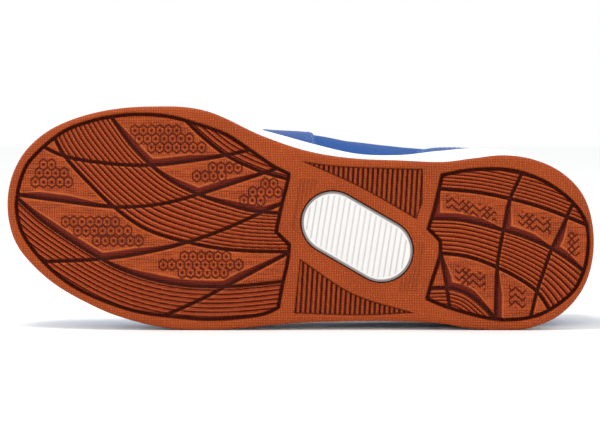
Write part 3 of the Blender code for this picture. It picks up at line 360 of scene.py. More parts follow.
# Patches of cross marks on the heel blocks: middle, then length and height, all as shares
HEEL_PATCHES = [
    (0.791, -0.124, 0.086, 0.062), (0.898, -0.060, 0.056, 0.072), (0.9645, 0.038, 0.021, 0.105),
    (0.789, 0.191, 0.052, 0.080), (0.869, 0.282, 0.029, 0.098),
]
HEEL_PATCH_LEAN = 0.28
MEDIAL_POCKET = [
    (0.503, -0.338, "corner"), (0.560, -0.318, "soft"), (0.640, -0.308, "soft"), (0.7196, -0.302, "corner"),
    (0.714, -0.200, "soft"), (0.698, -0.075, "corner"), (0.600, -0.222, "soft"),
]
LATERAL_POCKET = [
    (0.500, 0.105, "corner"), (0.590, 0.262, "soft"), (0.694, 0.350, "corner"), (0.600, 0.362, "soft"),
    (0.490, 0.352, "corner"),
]
# Ribs between two slanted grooves of the forefoot, by strip between long grooves, and the
# millimetres between ribs where they run beside one groove only
SWEEP_RIBS = (13, 12, 10, 11, 11)
SIDE_RIB_PITCH = 2.2 * MM
HEEL_MIDDLE_RIBS = (8, 10, 9)
HEEL_EDGE_PITCH = 1.75 * MM
POCKET_RIB_PITCH = 2.45 * MM
# Patches of fine upright lines beside the window: middle as shares, then width and height
WEAVE_PATCHES = [(0.508, -0.142, 9 * MM, 25 * MM), (0.690, 0.142, 9 * MM, 25 * MM)]
WEAVE_PITCH = 1.9 * MM
WEAVE_LEAN = 0.16
CELL_PITCH = 4.15 * MM
CELL_ROW_PITCH = 4.3 * MM
CELL_DEPTH = 0.55 * MM
MARK_PITCH = 3.5 * MM
MARK_ROW_PITCH = 3.4 * MM
MARK_SWAY = 0.55
MARK_DEPTH = 0.5 * MM
BEVEL_TAPER = 11 * MM
# Rows of cells: share of the length of the first and the last cell, share of the width
FOREFOOT_CELLS = [
    (0.063, 0.078, -0.322), (0.056, 0.095, -0.284), (0.049, 0.106, -0.243),
    (0.220, 0.294, -0.477), (0.227, 0.312, -0.439), (0.248, 0.330, -0.400),
    (0.352, 0.394, -0.308), (0.325, 0.372, -0.270),
    (0.441, 0.458, -0.236), (0.420, 0.456, -0.198), (0.405, 0.434, -0.160),
    (0.101, 0.181, -0.063), (0.122, 0.205, -0.0225), (0.155, 0.233, 0.0225),
    (0.304, 0.372, 0.0946), (0.268, 0.402, 0.131), (0.300, 0.368, 0.167),
]


def notch(distance, half=GROOVE_HALF, slope=WALL_SLOPE):
    """1 on the floor of a groove, 0 on the ground beside it, with a steep wall between."""
    return 1 - ramp(np.abs(distance), half - slope / 2, half + slope / 2)


def rib_gap(phase, start=0.50, end=0.92):
    """1 in the narrow gap between two ribs, 0 on their flat tops; a whole phase is one rib."""
    away = np.abs(phase - np.floor(phase) - 0.5) * 2
    return ramp(away, start, end)


def rib_painted_highlight(phase):
    """1 on the edge of a rib that faces up, which the light catches."""
    part = phase - np.floor(phase)
    return ramp(part, 0.10, 0.20) * (1 - ramp(part, 0.28, 0.46))


def honeycomb(points, chart):
    """Outlines and pits of small cells, in rows that are charted by shares of length and width."""
    centres = []
    for start, end, across in chart:
        x, y = place(start, across)
        stop, y = place(end, across)
        count = int(round((stop - x) / CELL_PITCH)) + 1
        centres += [(x + number * CELL_PITCH, y) for number in range(count)]
    best = np.full(len(points), 1e9)
    six_sided = np.full(len(points), 1e9)
    for x, y in centres:
        across = points[:, 0] - x
        up = (points[:, 1] - y) * (CELL_PITCH * 0.866 / CELL_ROW_PITCH)
        distance = np.hypot(across, up)
        lean = np.abs(up) * 0.866
        to_wall = np.maximum(np.abs(across), np.abs(across / 2) + lean)
        nearer = distance < best
        six_sided = np.where(nearer, to_wall, six_sided)
        best = np.where(nearer, distance, best)
    wall = notch(six_sided - CELL_PITCH * 0.49, 0.30 * MM, 0.3 * MM)
    pit = 1 - ramp(best, 0.45 * MM, 0.95 * MM)
    return np.maximum(wall, pit)


def block_bevel(raised, below, left, far_right, above):
    """Slope on the lower and the left side of a raised block, narrowing towards its tips, with a band of
    painted shade on the slope and a painted highlight along its top edge.
    """
    low_width = BEVEL_WIDTH * np.clip(far_right / BEVEL_TAPER, 0.15, 1)
    left_width = BEVEL_WIDTH * np.clip(above / BEVEL_TAPER, 0.15, 1)
    share = np.minimum((below - GROOVE_HALF) / low_width, (left - GROOVE_HALF) / left_width)
    slope = np.where(raised, 1 - np.clip(share, 0, 1), 0)
    # Band of painted shade on the slope, then a painted highlight along its top edge
    band = np.where(raised, 1 - ramp(share, 0.80, 1.05), 0)
    painted_highlight = np.where(raised, ramp(share, 1.0, 1.12) * (1 - ramp(share, 1.25, 1.5)), 0)
    return slope, band, painted_highlight


def paths_distance(points, paths, steps=40):
    """Signed distances to open paths, and on how many right hands each point lies."""
    ways = [path_distance(points, curve_path(rows, steps)) for rows in paths]
    return ways, sum((distance > 0).astype(int) for distance in ways)


def carve(edge, groove, lit_grooves, raised, phase, lit_phase, block, marks, rib_depth, mark_depth):
    """Depth of a field under the rim and masks of its parts, from grooves, ribs, bevels and marks; the masks
    paint shade into grooves, rib gaps, bevels and marks, and highlights on lit edges.
    """
    slope, bevel, painted_highlight = block
    # Painted shade in the gaps between ribs; painted highlights on the rib edges and beside the grooves that
    # face the light
    gap = np.where(raised, 0, rib_gap(phase))
    painted_highlight = np.maximum(painted_highlight, np.where(raised, 0, rib_painted_highlight(lit_phase)))
    for distance in lit_grooves:
        beside = ramp(distance, 0.8 * MM, 1.1 * MM) * (1 - ramp(distance, 1.3 * MM, 1.8 * MM))
        painted_highlight = np.maximum(painted_highlight, beside * 0.8)
    depth = FIELD_DROP + np.maximum.reduce([rib_depth * gap, slope * BEVEL_DEPTH, marks * mark_depth])
    inside = edge > 0
    depth = np.where(inside, depth + (GROOVE_DEPTH - depth) * groove, 0)
    border = notch(edge)
    depth = depth + (BORDER_DEPTH - depth) * border
    # The groove, gap, bevel and cells masks paint shade on the gum, and the highlight mask paints light on it
    return depth, {
        "groove": np.maximum(groove * inside, border), "gap": gap * inside, "bevel": bevel * inside,
        "cells": marks * inside, "ribbed": inside & ~raised, "painted_highlight": painted_highlight * inside, "block": inside & raised,
    }


def forefoot_relief(points):
    """Depth and masks of the forefoot: swept ribs, blocks with cells and a wide bevel between grooves."""
    edge = path_distance(points, field_outline(FOREFOOT_FIELD, 2 * MM), closed=True)
    longs, strip = paths_distance(points, FOREFOOT_LONG)
    slants, past = paths_distance(points, FOREFOOT_SLANTED)
    column = len(slants) - past
    groove = np.maximum.reduce([notch(distance) for distance in longs + slants])
    raised = (column == 1) | (column == 3)
    # Ribs sweep between the second and the third slanted groove, and lie beside the first and last
    share = np.abs(slants[1]) / np.maximum(np.abs(slants[1]) + np.abs(slants[2]), 1e-9)
    beside = np.abs(np.where(column == 0, slants[0], slants[3])) / SIDE_RIB_PITCH + 0.3
    phase = np.where(column == 2, share * np.array(SWEEP_RIBS)[strip], beside)
    # Wide bevel on the lower and the left side of the raised blocks
    walls = [np.abs(distance) for distance in longs]
    below = np.choose(strip, walls + [np.full(len(points), 1e3)])
    above = np.choose(strip, [np.abs(edge)] + walls)
    left = np.abs(np.where(column == 1, slants[0], slants[2]))
    right = np.abs(np.where(column == 1, slants[1], slants[3]))
    plain = (column == 1) & ((strip == 0) | (strip == 4)) | (column == 3) & (strip > 2)
    block = block_bevel(raised & ~plain, below, left, np.minimum(right, edge), above)
    # Side of each rib that gets the painted highlight
    lit_phase = np.where(column == 4, phase, 1 - phase)
    return carve(edge, groove, longs + slants[1:], raised, phase, lit_phase, block,
                 honeycomb(points, FOREFOOT_CELLS), RIB_DEPTH, CELL_DEPTH)


def heel_relief(points):
    """Depth and masks of the heel: rows of ribs, and blocks with patches of cross marks."""
    edge = path_distance(points, field_outline(HEEL_FIELD, 2 * MM), closed=True)
    longs, strip = paths_distance(points, HEEL_LONG)
    crosses, past = paths_distance(points, HEEL_CROSS)
    short = path_distance(points, curve_path(HEEL_SHORT, 12))
    column = len(crosses) - past
    groove = np.maximum.reduce([notch(distance) for distance in longs + crosses])
    groove = np.maximum(groove, notch(short) * (strip >= 2))
    raised = (strip == 1) | (strip == 3)
    share = np.abs(longs[1]) / np.maximum(np.abs(longs[1]) + np.abs(longs[2]), 1e-9)
    beside = np.where(strip == 0, -np.abs(longs[0]), np.abs(longs[3])) / HEEL_EDGE_PITCH + 0.3
    phase = np.where(strip == 2, share * np.array(HEEL_MIDDLE_RIBS)[column], beside)
    below = np.abs(np.where(strip == 1, longs[1], longs[3]))
    above = np.abs(np.where(strip == 1, longs[0], longs[2]))
    walls = [np.abs(distance) for distance in crosses]
    left = np.choose(column, [np.where(strip >= 3, np.abs(short), edge)] + walls)
    right = np.choose(column, walls + [edge])
    left_of_short = (short > 0) & (points[:, 0] < SHORT_GROOVE_REACH)
    plain = (strip == 3) & (column == 2) | left_of_short & (strip >= 3)
    patch = np.zeros(len(points))
    for centre_u, centre_v, wide, high in HEEL_PATCHES:
        x, y = place(centre_u, centre_v)
        slant = (points[:, 0] - x) * HEEL_PATCH_LEAN
        room = np.minimum(wide * LENGTH / 2 - np.abs(points[:, 0] - x),
                          high * BALL_WIDTH / 2 - np.abs(points[:, 1] - y - slant))
        patch = np.maximum(patch, ramp(room, -0.3 * MM, 0.4 * MM))
    # Zigzag strokes both ways; every third is left out, each way, so that the marks stand apart
    sway = MARK_SWAY * np.abs(np.mod(points[:, 0] / MARK_PITCH, 1) - 0.5) * 2
    number = np.mod(np.floor(points[:, 0] / MARK_PITCH), 3)
    marks = np.zeros(len(points))
    for way, left_out in ((1, 0), (-1, 1)):
        stroke = np.abs(np.mod(points[:, 1] / MARK_ROW_PITCH + way * sway, 1) - 0.5)
        marks = np.maximum(marks, np.where(number == left_out, 0, 1 - ramp(stroke, 0.10, 0.20)))
    marks = np.where(raised & ~plain, marks * patch, 0)
    return carve(edge, groove, longs + [-distance for distance in crosses], raised, phase, phase,
                 block_bevel(raised & ~plain, below, left, right, above), marks, RIB_DEPTH * 0.9, MARK_DEPTH)


def capsule_distance(points, length, width):
    """Signed distance to the slanted window with round ends, plus inside it."""
    turn = math.radians(WINDOW_TURN_DEG)
    centre_x, centre_y = place(*WINDOW_CENTRE)
    x = (points[:, 0] - centre_x) * math.cos(turn) + (points[:, 1] - centre_y) * math.sin(turn)
    y = -(points[:, 0] - centre_x) * math.sin(turn) + (points[:, 1] - centre_y) * math.cos(turn)
    reach = (length - width) / 2
    return width / 2 - np.hypot(x - np.clip(x, -reach, reach), y)


def waist_relief(points):
    """Depth and masks of the waist: two pockets with upright ribs, and the window."""
    depth, groove, gap, ribbed, painted_highlight = np.zeros((5, len(points)))
    phase = (points[:, 0] + 0.06 * points[:, 1]) / POCKET_RIB_PITCH
    for rows in (MEDIAL_POCKET, LATERAL_POCKET):
        edge = path_distance(points, field_outline(rows, 3 * MM), closed=True)
        floor = ramp(edge, -0.2 * MM, 0.35 * MM)
        ridge = 1 - rib_gap(phase, 0.34, 0.74)
        ridge *= ramp(edge, 0.2 * MM, 0.7 * MM)
        depth = np.maximum(depth, floor * POCKET_DEPTH * (1 - 0.86 * ridge))
        # Painted shade in the gaps between the pocket ribs, and a painted highlight on their upper edges
        gap = np.maximum(gap, floor * (1 - ridge))
        ribbed = np.maximum(ribbed, floor * 0.25)
        painted_highlight = np.maximum(painted_highlight, floor * rib_painted_highlight(1.05 - phase) * 0.75)
    window = capsule_distance(points, WINDOW_LENGTH, WINDOW_WIDTH)
    for centre_u, centre_v, wide, high in WEAVE_PATCHES:
        x, y = place(centre_u, centre_v)
        along = points[:, 0] - x + WEAVE_LEAN * (points[:, 1] - y)
        room = np.minimum(wide / 2 - np.abs(along), high / 2 - np.abs(points[:, 1] - y))
        shown = ramp(room, 0.0, 0.5 * MM) * ramp(-window, 2.0 * MM, 2.6 * MM)
        line = rib_gap(along / WEAVE_PITCH, 0.30, 0.80) * shown
        depth = np.maximum(depth, 0.22 * MM * line)
        # Painted shade in the fine lines, and a painted highlight beside each
        gap = np.maximum(gap, 0.42 * line)
        painted_highlight = np.maximum(painted_highlight, 0.40 * shown * rib_painted_highlight(along / WEAVE_PITCH + 0.2))
    cut = ramp(window, -0.15 * MM, 0.25 * MM)
    step = 1 - ramp(np.abs(window + 1.4 * MM), 0.1 * MM, 0.5 * MM)
    depth = np.maximum(depth, cut * WINDOW_DEPTH)
    depth = depth + step * 0.18 * MM
    # The window's floor takes the grooves' painted shade
    groove = np.maximum(groove, cut)
    return depth, {"groove": groove, "gap": gap, "ribbed": ribbed, "painted_highlight": painted_highlight}


def add_node(tree, kind, inputs=None, **settings):
    """Node in a tree, with its settings, and a value or a wire on each input that is named."""
    node = tree.nodes.new(kind if kind.startswith("NodeGroup") else "ShaderNode" + kind)
    for key, value in settings.items():
        setattr(node, key, value)
    for key, value in (inputs or {}).items():
        if isinstance(value, bpy.types.NodeSocket):
            tree.links.new(value, node.inputs[key])
        else:
            node.inputs[key].default_value = value
    return node


def new_group(name, entry):
    """Node group from one number to a height and a tone, with its first and its last node."""
    group = bpy.data.node_groups.new(name, "ShaderNodeTree")
    group.interface.new_socket(entry, in_out="INPUT", socket_type="NodeSocketFloat")
    group.interface.new_socket("Height", in_out="OUTPUT", socket_type="NodeSocketFloat")
    group.interface.new_socket("Tone", in_out="OUTPUT", socket_type="NodeSocketFloat")
    return group, add_node(group, "NodeGroupInput"), add_node(group, "NodeGroupOutput")


def noise(tree, place_on, scale, detail, **more):
    """Noise over a place, as a socket."""
    inputs = {"Vector": place_on, "Scale": scale, "Detail": detail, **more}
    return add_node(tree, "TexNoise", inputs).outputs["Fac"]


def mask_of(tree, value, low, high, to_low=0.0, to_high=1.0):
    """A value from one range to another, as a socket."""
    inputs = {"Value": value, "From Min": low, "From Max": high, "To Min": to_low, "To Max": to_high}
    return add_node(tree, "MapRange", inputs).outputs[0]


def blend(tree, factor, low, high):
    """Colour between two colours or sockets by a factor socket."""
    low, high = [(*value, 1) if isinstance(value, tuple) else value for value in (low, high)]
    return add_node(tree, "Mix", {0: factor, 6: low, 7: high}, data_type="RGBA").outputs[2]


def attribute(tree, name):
    """Mask that is kept on the mesh, as a socket."""
    return add_node(tree, "Attribute", attribute_name=name).outputs["Fac"]


def object_place(tree):
    """Place on the object, as a socket."""
    return add_node(tree, "TexCoord").outputs["Object"]


def wire_shader(tree, shader, colour, height, strength, distance):
    """Colour and bump wired to the shader."""
    tree.links.new(colour, shader.inputs["Base Color"])
    bump = add_node(tree, "Bump", {"Strength": strength, "Distance": distance, "Height": height})
    tree.links.new(bump.outputs["Normal"], shader.inputs["Normal"])


# Fine woven grain of a mould, as a height, and soft clouds, as a tone
mould_grain, grain_in, grain_out = new_group("mould_grain", "Scale")
grain_place = object_place(mould_grain)
wave_inputs = {"Vector": grain_place, "Scale": grain_in.outputs["Scale"], "Distortion": 3.0, "Detail": 1.0,
               "Detail Scale": 1.5}
grain_waves = [add_node(mould_grain, "TexWave", wave_inputs, wave_type="BANDS", bands_direction=way)
               for way in ("X", "Z")]
crossed = add_node(mould_grain, "Math", {0: grain_waves[0].outputs["Fac"], 1: grain_waves[1].outputs["Fac"]},
                   operation="MULTIPLY")
grain_height = add_node(mould_grain, "Math", {0: noise(mould_grain, grain_place, 900.0, 3.0), 1: 0.5,
                                              2: crossed.outputs[0]}, operation="MULTIPLY_ADD")
mould_grain.links.new(grain_height.outputs[0], grain_out.inputs["Height"])
mould_grain.links.new(noise(mould_grain, grain_place, 45.0, 4.0), grain_out.inputs["Tone"])

# Amber gum: orange tops with a wood-like streak on the blocks and pale specks that are partly the grain and
# partly painted glints, then the mask of each part over it, from the redder ribs and painted highlights to
# the painted shade of bevels, marks and grooves
GUM_PLAIN = ((0.21, 0.023, 0.002), (0.37, 0.050, 0.004))
GUM_STREAK = ((0.20, 0.020, 0.002), (0.38, 0.050, 0.005))
GUM_SPECK_AND_GLINT = (0.64, 0.142, 0.024)
# The ribbed tone is the ribs' own redder colour; the edge highlight is painted light; the bevel, cell, gap
# and groove tones are painted shade on the slopes and in the marks and recesses
GUM_PARTS = [
    ("ribbed", (0.285, 0.030, 0.003)), ("painted_highlight", (0.52, 0.105, 0.022)), ("bevel", (0.150, 0.015, 0.006)),
    ("cells", (0.090, 0.007, 0.002)), ("gap", (0.065, 0.005, 0.001)), ("groove", (0.055, 0.004, 0.001)),
]
gum, gum_shader = new_material("gum_rubber_moulded", 0.46, 0.16)
gum_tree = gum.node_tree
gum_grain = add_node(gum_tree, "Group", {"Scale": 260.0}, node_tree=mould_grain)
stretched = add_node(gum_tree, "Mapping", {"Vector": object_place(gum_tree), "Scale": (90.0, 90.0, 900.0)})
streak = noise(gum_tree, stretched.outputs["Vector"], 1.0, 3.0, Roughness=0.6)
plain_gum = blend(gum_tree, gum_grain.outputs["Tone"], *GUM_PLAIN)
block_gum = blend(gum_tree, mask_of(gum_tree, streak, 0.40, 0.64), *GUM_STREAK)
gum_colour = blend(gum_tree, attribute(gum_tree, "block"), plain_gum, block_gum)
# Pale specks where the grain stands up: partly the grain's own texture and partly painted glints
speck_and_glint = mask_of(gum_tree, gum_grain.outputs["Height"], 0.38, 0.92, to_high=0.66)
gum_colour = blend(gum_tree, speck_and_glint, gum_colour, GUM_SPECK_AND_GLINT)
for mask, tone in GUM_PARTS:
    gum_colour = blend(gum_tree, attribute(gum_tree, mask), gum_colour, tone)
wire_shader(gum_tree, gum_shader, gum_colour, gum_grain.outputs["Height"], 0.9, 0.0005)


def add_piece(name, points, faces, slot, material, node=None, mend=("weld", "turn"), sharp_deg=55,
              marks=None, cloth=None, rounded=True):
    """Piece from standing points, laid over, mended, shaded, finished and fixed to the shoe."""
    faces = faces.tolist() if isinstance(faces, np.ndarray) else faces
    mesh = bpy.data.meshes.new(name)
    # A corner that a face names twice counts once
    mesh.from_pydata(lay_over(points).tolist(), [], [tuple(dict.fromkeys(face)) for face in faces])
    for key, values in (marks or {}).items():
        kept = mesh.attributes.new(key, "FLOAT", "POINT")
        kept.data.foreach_set("value", np.asarray(values, np.float32))
    if cloth is not None:
        kept = mesh.attributes.new("cloth", "FLOAT_VECTOR", "CORNER")
        kept.data.foreach_set("vector", np.asarray(cloth, np.float32).ravel())
    mesh.polygons.foreach_set("use_smooth", np.full(len(mesh.polygons), rounded))
    if mend:
        shape = bmesh.new()
        shape.from_mesh(mesh)
        if "weld" in mend:
            bmesh.ops.remove_doubles(shape, verts=shape.verts, dist=WELD_DISTANCE)
        if "cap" in mend:
            open_edges = [edge for edge in shape.edges if edge.is_boundary]
            for face in bmesh.ops.holes_fill(shape, edges=open_edges, sides=0)["faces"]:
                face.smooth = False
                for edge in face.edges:
                    edge.smooth = False
        bmesh.ops.recalc_face_normals(shape, faces=shape.faces)
        shape.to_mesh(mesh)
        shape.free()
    if sharp_deg:
        mesh.set_sharp_from_angle(angle=math.radians(sharp_deg))
    mesh.materials.append(material)
    made = add_object(name, mesh)
    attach(made, "root")
    if node:
        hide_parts(node)
    return made


def grid_quads(rows, columns):
    """Number of each point of a grid, and the faces between the points."""
    index = np.arange(rows * columns).reshape(rows, columns)
    quads = np.stack((index[:-1, :-1], index[1:, :-1], index[1:, 1:], index[:-1, 1:]), axis=-1)
    return index, quads.reshape(-1, 4)


def tread_piece(name, stations, columns, relief):
    """Part of the outsole over its stations along the length, as one closed mesh."""
    count = len(stations)
    turns = np.arccos(1 - 2 * np.clip(stations, 0, 1)) / math.pi
    edges = [sole_outline(at, -RIM_RADIUS) for at in (turns, 2 - turns)]
    share = np.linspace(0, 1, columns)
    flat = np.stack([(medial[:, None] * (1 - share) + lateral[:, None] * share).ravel()
                     for medial, lateral in list(zip(*edges))[:2]], axis=1)
    depth, masks = relief(flat)
    points = np.column_stack((flat, lift(flat[:, 0] / LENGTH + 0.5) + depth))
    index, quads = grid_quads(count, columns)
    faces = [quads]
    # Rounded rim and side, on the medial and the lateral edge of the grid
    last_rings = []
    for (x, y, out), column in zip(edges, (0, columns - 1)):
        below = index[:, column]
        along = x / LENGTH + 0.5
        profile = [(RIM_RADIUS * math.sin(angle), lift(along) + RIM_RADIUS * (1 - math.cos(angle)))
                   for angle in math.pi / 2 * np.arange(1, RIM_STEPS + 1) / RIM_STEPS]
        profile.append((RIM_RADIUS, side_top(along) - RIM_TOP_INSET))
        profile.append((RIM_RADIUS - RIM_TOP_INSET, side_top(along)))
        for reach, height in profile:
            above = np.arange(count) + len(points)
            ring = np.column_stack((x + out[:, 0] * reach, y + out[:, 1] * reach, height))
            points = np.concatenate((points, ring))
            strip = np.stack((below[:-1], below[1:], above[1:], above[:-1]), axis=1)
            faces.append(strip if column else strip[:, ::-1])
            below = above
        last_rings.append(below)
    medial, lateral = last_rings
    faces.append(np.stack((medial[:-1], medial[1:], lateral[1:], lateral[:-1]), axis=1)[:, ::-1])
    marks = {}
    for key in ["block"] + [mask for mask, tone in GUM_PARTS]:
        marks[key] = np.zeros(len(points))
        marks[key][:count * columns] = masks.get(key, 0)
    add_piece(name, points, np.concatenate(faces), "gum_rubber", gum, "outsole",
              mend=("weld", "cap", "turn"), sharp_deg=None, marks=marks)


FORE_SPLIT = 0.4865
HEEL_SPLIT = 0.709
BALL_START = 0.25
END_STEPS = 26
# Stations stand closest where the outline turns, at the toe and at the heel
toe_stations = along_of(np.linspace(0, 0.11, END_STEPS))
end_stations = along_of(np.linspace(0.9, 1.0, END_STEPS))
fore_stations = np.concatenate((toe_stations, np.linspace(toe_stations[-1], BALL_START, 124)[1:],
                                np.linspace(BALL_START, FORE_SPLIT, 196)[1:]))
heel_stations = np.concatenate((np.linspace(HEEL_SPLIT, end_stations[0], 225)[:-1], end_stations))
tread_piece("outsole_forefoot", fore_stations, 258, forefoot_relief)
tread_piece("outsole_waist", np.linspace(FORE_SPLIT, HEEL_SPLIT, 150), 190, waist_relief)
tread_piece("outsole_heel", heel_stations, 270, heel_relief)


# Waist insert
# White rubber plate with round ends and fine upright ribs, moulded on its own and glued into
# the window of the outsole. Its bevelled edge all round and the gaps between its ribs are painted grey as
# shade.
SEAT_GAP = 0.3 * MM
INSERT_CLEARANCE = 0.6 * MM
INSERT_THICKNESS = 2.6 * MM
INSERT_RIB_PITCH = 2.8 * MM
INSERT_RIB_DEPTH = 0.5 * MM
INSERT_EDGE = 1.1 * MM
INSERT_EDGE_DROP = 0.8 * MM


def sandwich(front, back):
    """Points and faces of a closed sheet between two grids of the same size."""
    index, quads = grid_quads(*front.shape[:2])
    count = index.size
    rim = np.concatenate((index[0, :-1], index[:-1, -1], index[-1, :0:-1], index[:0:-1, 0]))
    after = np.roll(rim, -1)
    sides = np.stack((rim, after, after + count, rim + count), axis=1)
    points = np.concatenate((front.reshape(-1, 3), back.reshape(-1, 3)))
    return points, np.concatenate((quads, quads[:, ::-1] + count, sides))


def white_material(name, colour, shade, roughness, grain_scale):
    """White rubber or foam skin with faint clouds, and painted shade in its low places."""
    material, shader = new_material(name, roughness)
    tree = material.node_tree
    grain = add_node(tree, "Group", {"Scale": grain_scale}, node_tree=mould_grain)
    clouds = blend(tree, grain.outputs["Tone"], colour, tuple(0.94 * value for value in colour))
    # The low mask blends towards the shade colour: painted shade in recesses and round edges
    colour = blend(tree, attribute(tree, "low"), clouds, shade)
    wire_shader(tree, shader, colour, grain.outputs["Height"], 0.2, 0.0002)
    return material


insert_length = WINDOW_LENGTH - 2 * INSERT_CLEARANCE
insert_width = WINDOW_WIDTH - 2 * INSERT_CLEARANCE
insert_reach = (insert_length - insert_width) / 2
run = -np.cos(np.linspace(0.02, math.pi - 0.02, 170)) * insert_length / 2
half = np.sqrt(np.maximum((insert_width / 2) ** 2 - np.clip(np.abs(run) - insert_reach, 0, None) ** 2, 1e-9))
window_y = half[:, None] * np.linspace(-1, 1, 90)
window_x = run[:, None] + 0 * window_y
window_turn = math.radians(WINDOW_TURN_DEG)
centre_x, centre_y = place(*WINDOW_CENTRE)
plate_x = centre_x + window_x * math.cos(window_turn) - window_y * math.sin(window_turn)
plate_y = centre_y + window_x * math.sin(window_turn) + window_y * math.cos(window_turn)
inward = capsule_distance(np.stack((plate_x.ravel(), plate_y.ravel()), axis=1), insert_length, insert_width)
inward = inward.reshape(plate_x.shape)
ground = lift(plate_x / LENGTH + 0.5)
rib_line = (plate_x + WEAVE_LEAN * plate_y) / INSERT_RIB_PITCH
rib_low = rib_gap(rib_line, 0.62, 0.94) * ramp(inward, INSERT_EDGE + 0.6 * MM, INSERT_EDGE + 1.1 * MM)
edge_low = 1 - ramp(inward, INSERT_EDGE - 0.5 * MM, INSERT_EDGE + 0.2 * MM)
back_depth = WINDOW_DEPTH - SEAT_GAP
face_depth = back_depth - INSERT_THICKNESS + rib_low * INSERT_RIB_DEPTH + edge_low * INSERT_EDGE_DROP
front = np.stack((plate_x, plate_y, ground + face_depth), axis=-1)
back = np.stack((plate_x, plate_y, ground + back_depth), axis=-1)
insert_white = white_material("insert_white_rubber", (0.80, 0.79, 0.77), (0.28, 0.26, 0.26), 0.42, 700.0)
# Painted shade: darker grey round the bevelled edge and lighter grey in the rib gaps, on the face only
insert_painted_shade = np.concatenate((np.maximum(edge_low, rib_low * 0.34).ravel(), np.zeros(plate_x.size)))
add_piece("waist_insert_plate", *sandwich(front, back), "white_rubber", insert_white, "waist_insert",
          marks={"low": insert_painted_shade})


# Midsole
# White foam cup sole between gum and upper, moulded in one piece, with a stepped side, a fine
# ribbed band round it and a soft top edge that holds the upper.
FOREFOOT_STACK = 15 * MM
TOE_STACK_RISE = 2.5 * MM
HEEL_STACK = 27 * MM
CUP_DEPTH = 2.5 * MM
CUP_WALL = 2.6 * MM
MIDSOLE_SETBACK = 1.2 * MM
COLLAR_HEIGHT = 95 * MM
MIDSOLE_FLARE = [
    ("toe", 0.0, 0.0), ("medial", 0.22, 0.0), ("medial", 0.38, 1.4), ("medial", 0.46, 3.2),
    ("medial", 0.52, 3.2), ("medial", 0.60, 1.6), ("medial", 0.67, 2.4), ("medial", 0.735, 5.6),
    ("medial", 0.79, 5.6), ("medial", 0.85, 2.8), ("medial", 0.94, 0.4), ("heel", 1.0, 0.0),
    ("lateral", 0.80, 0.0), ("lateral", 0.72, 1.4), ("lateral", 0.60, 2.2), ("lateral", 0.50, 1.4),
    ("lateral", 0.42, 0.0), ("lateral", 0.20, 0.0),
]
# Share of the side's height, millimetres out from the setback, how much painted shade it gets, rib depth
MIDSOLE_SIDE = [
    (0.00, -0.3, 0.6, 0.0), (0.02, 0.0, 0.0, 0.0), (0.10, 0.35, 0.0, 0.0), (0.20, 0.5, 0.0, 0.0),
    (0.235, 0.35, 0.2, 0.0), (0.26, -0.35, 0.6, 0.0), (0.28, -0.5, 0.4, 0.0), (0.31, -0.4, 0.1, 0.35),
    (0.35, -0.35, 0.0, 0.6), (0.39, -0.4, 0.1, 0.35), (0.42, -0.5, 0.4, 0.0), (0.45, -0.35, 0.6, 0.0),
    (0.48, 0.3, 0.2, 0.0), (0.52, 0.5, 0.0, 0.0), (0.68, 0.4, 0.0, 0.0), (0.84, 0.2, 0.0, 0.0),
    (0.93, -0.1, 0.0, 0.0), (0.98, -0.5, 0.0, 0.0), (1.00, -0.9, 0.0, 0.0),
]
SIDE_RIBS = 260
MIDSOLE_POINTS = 640
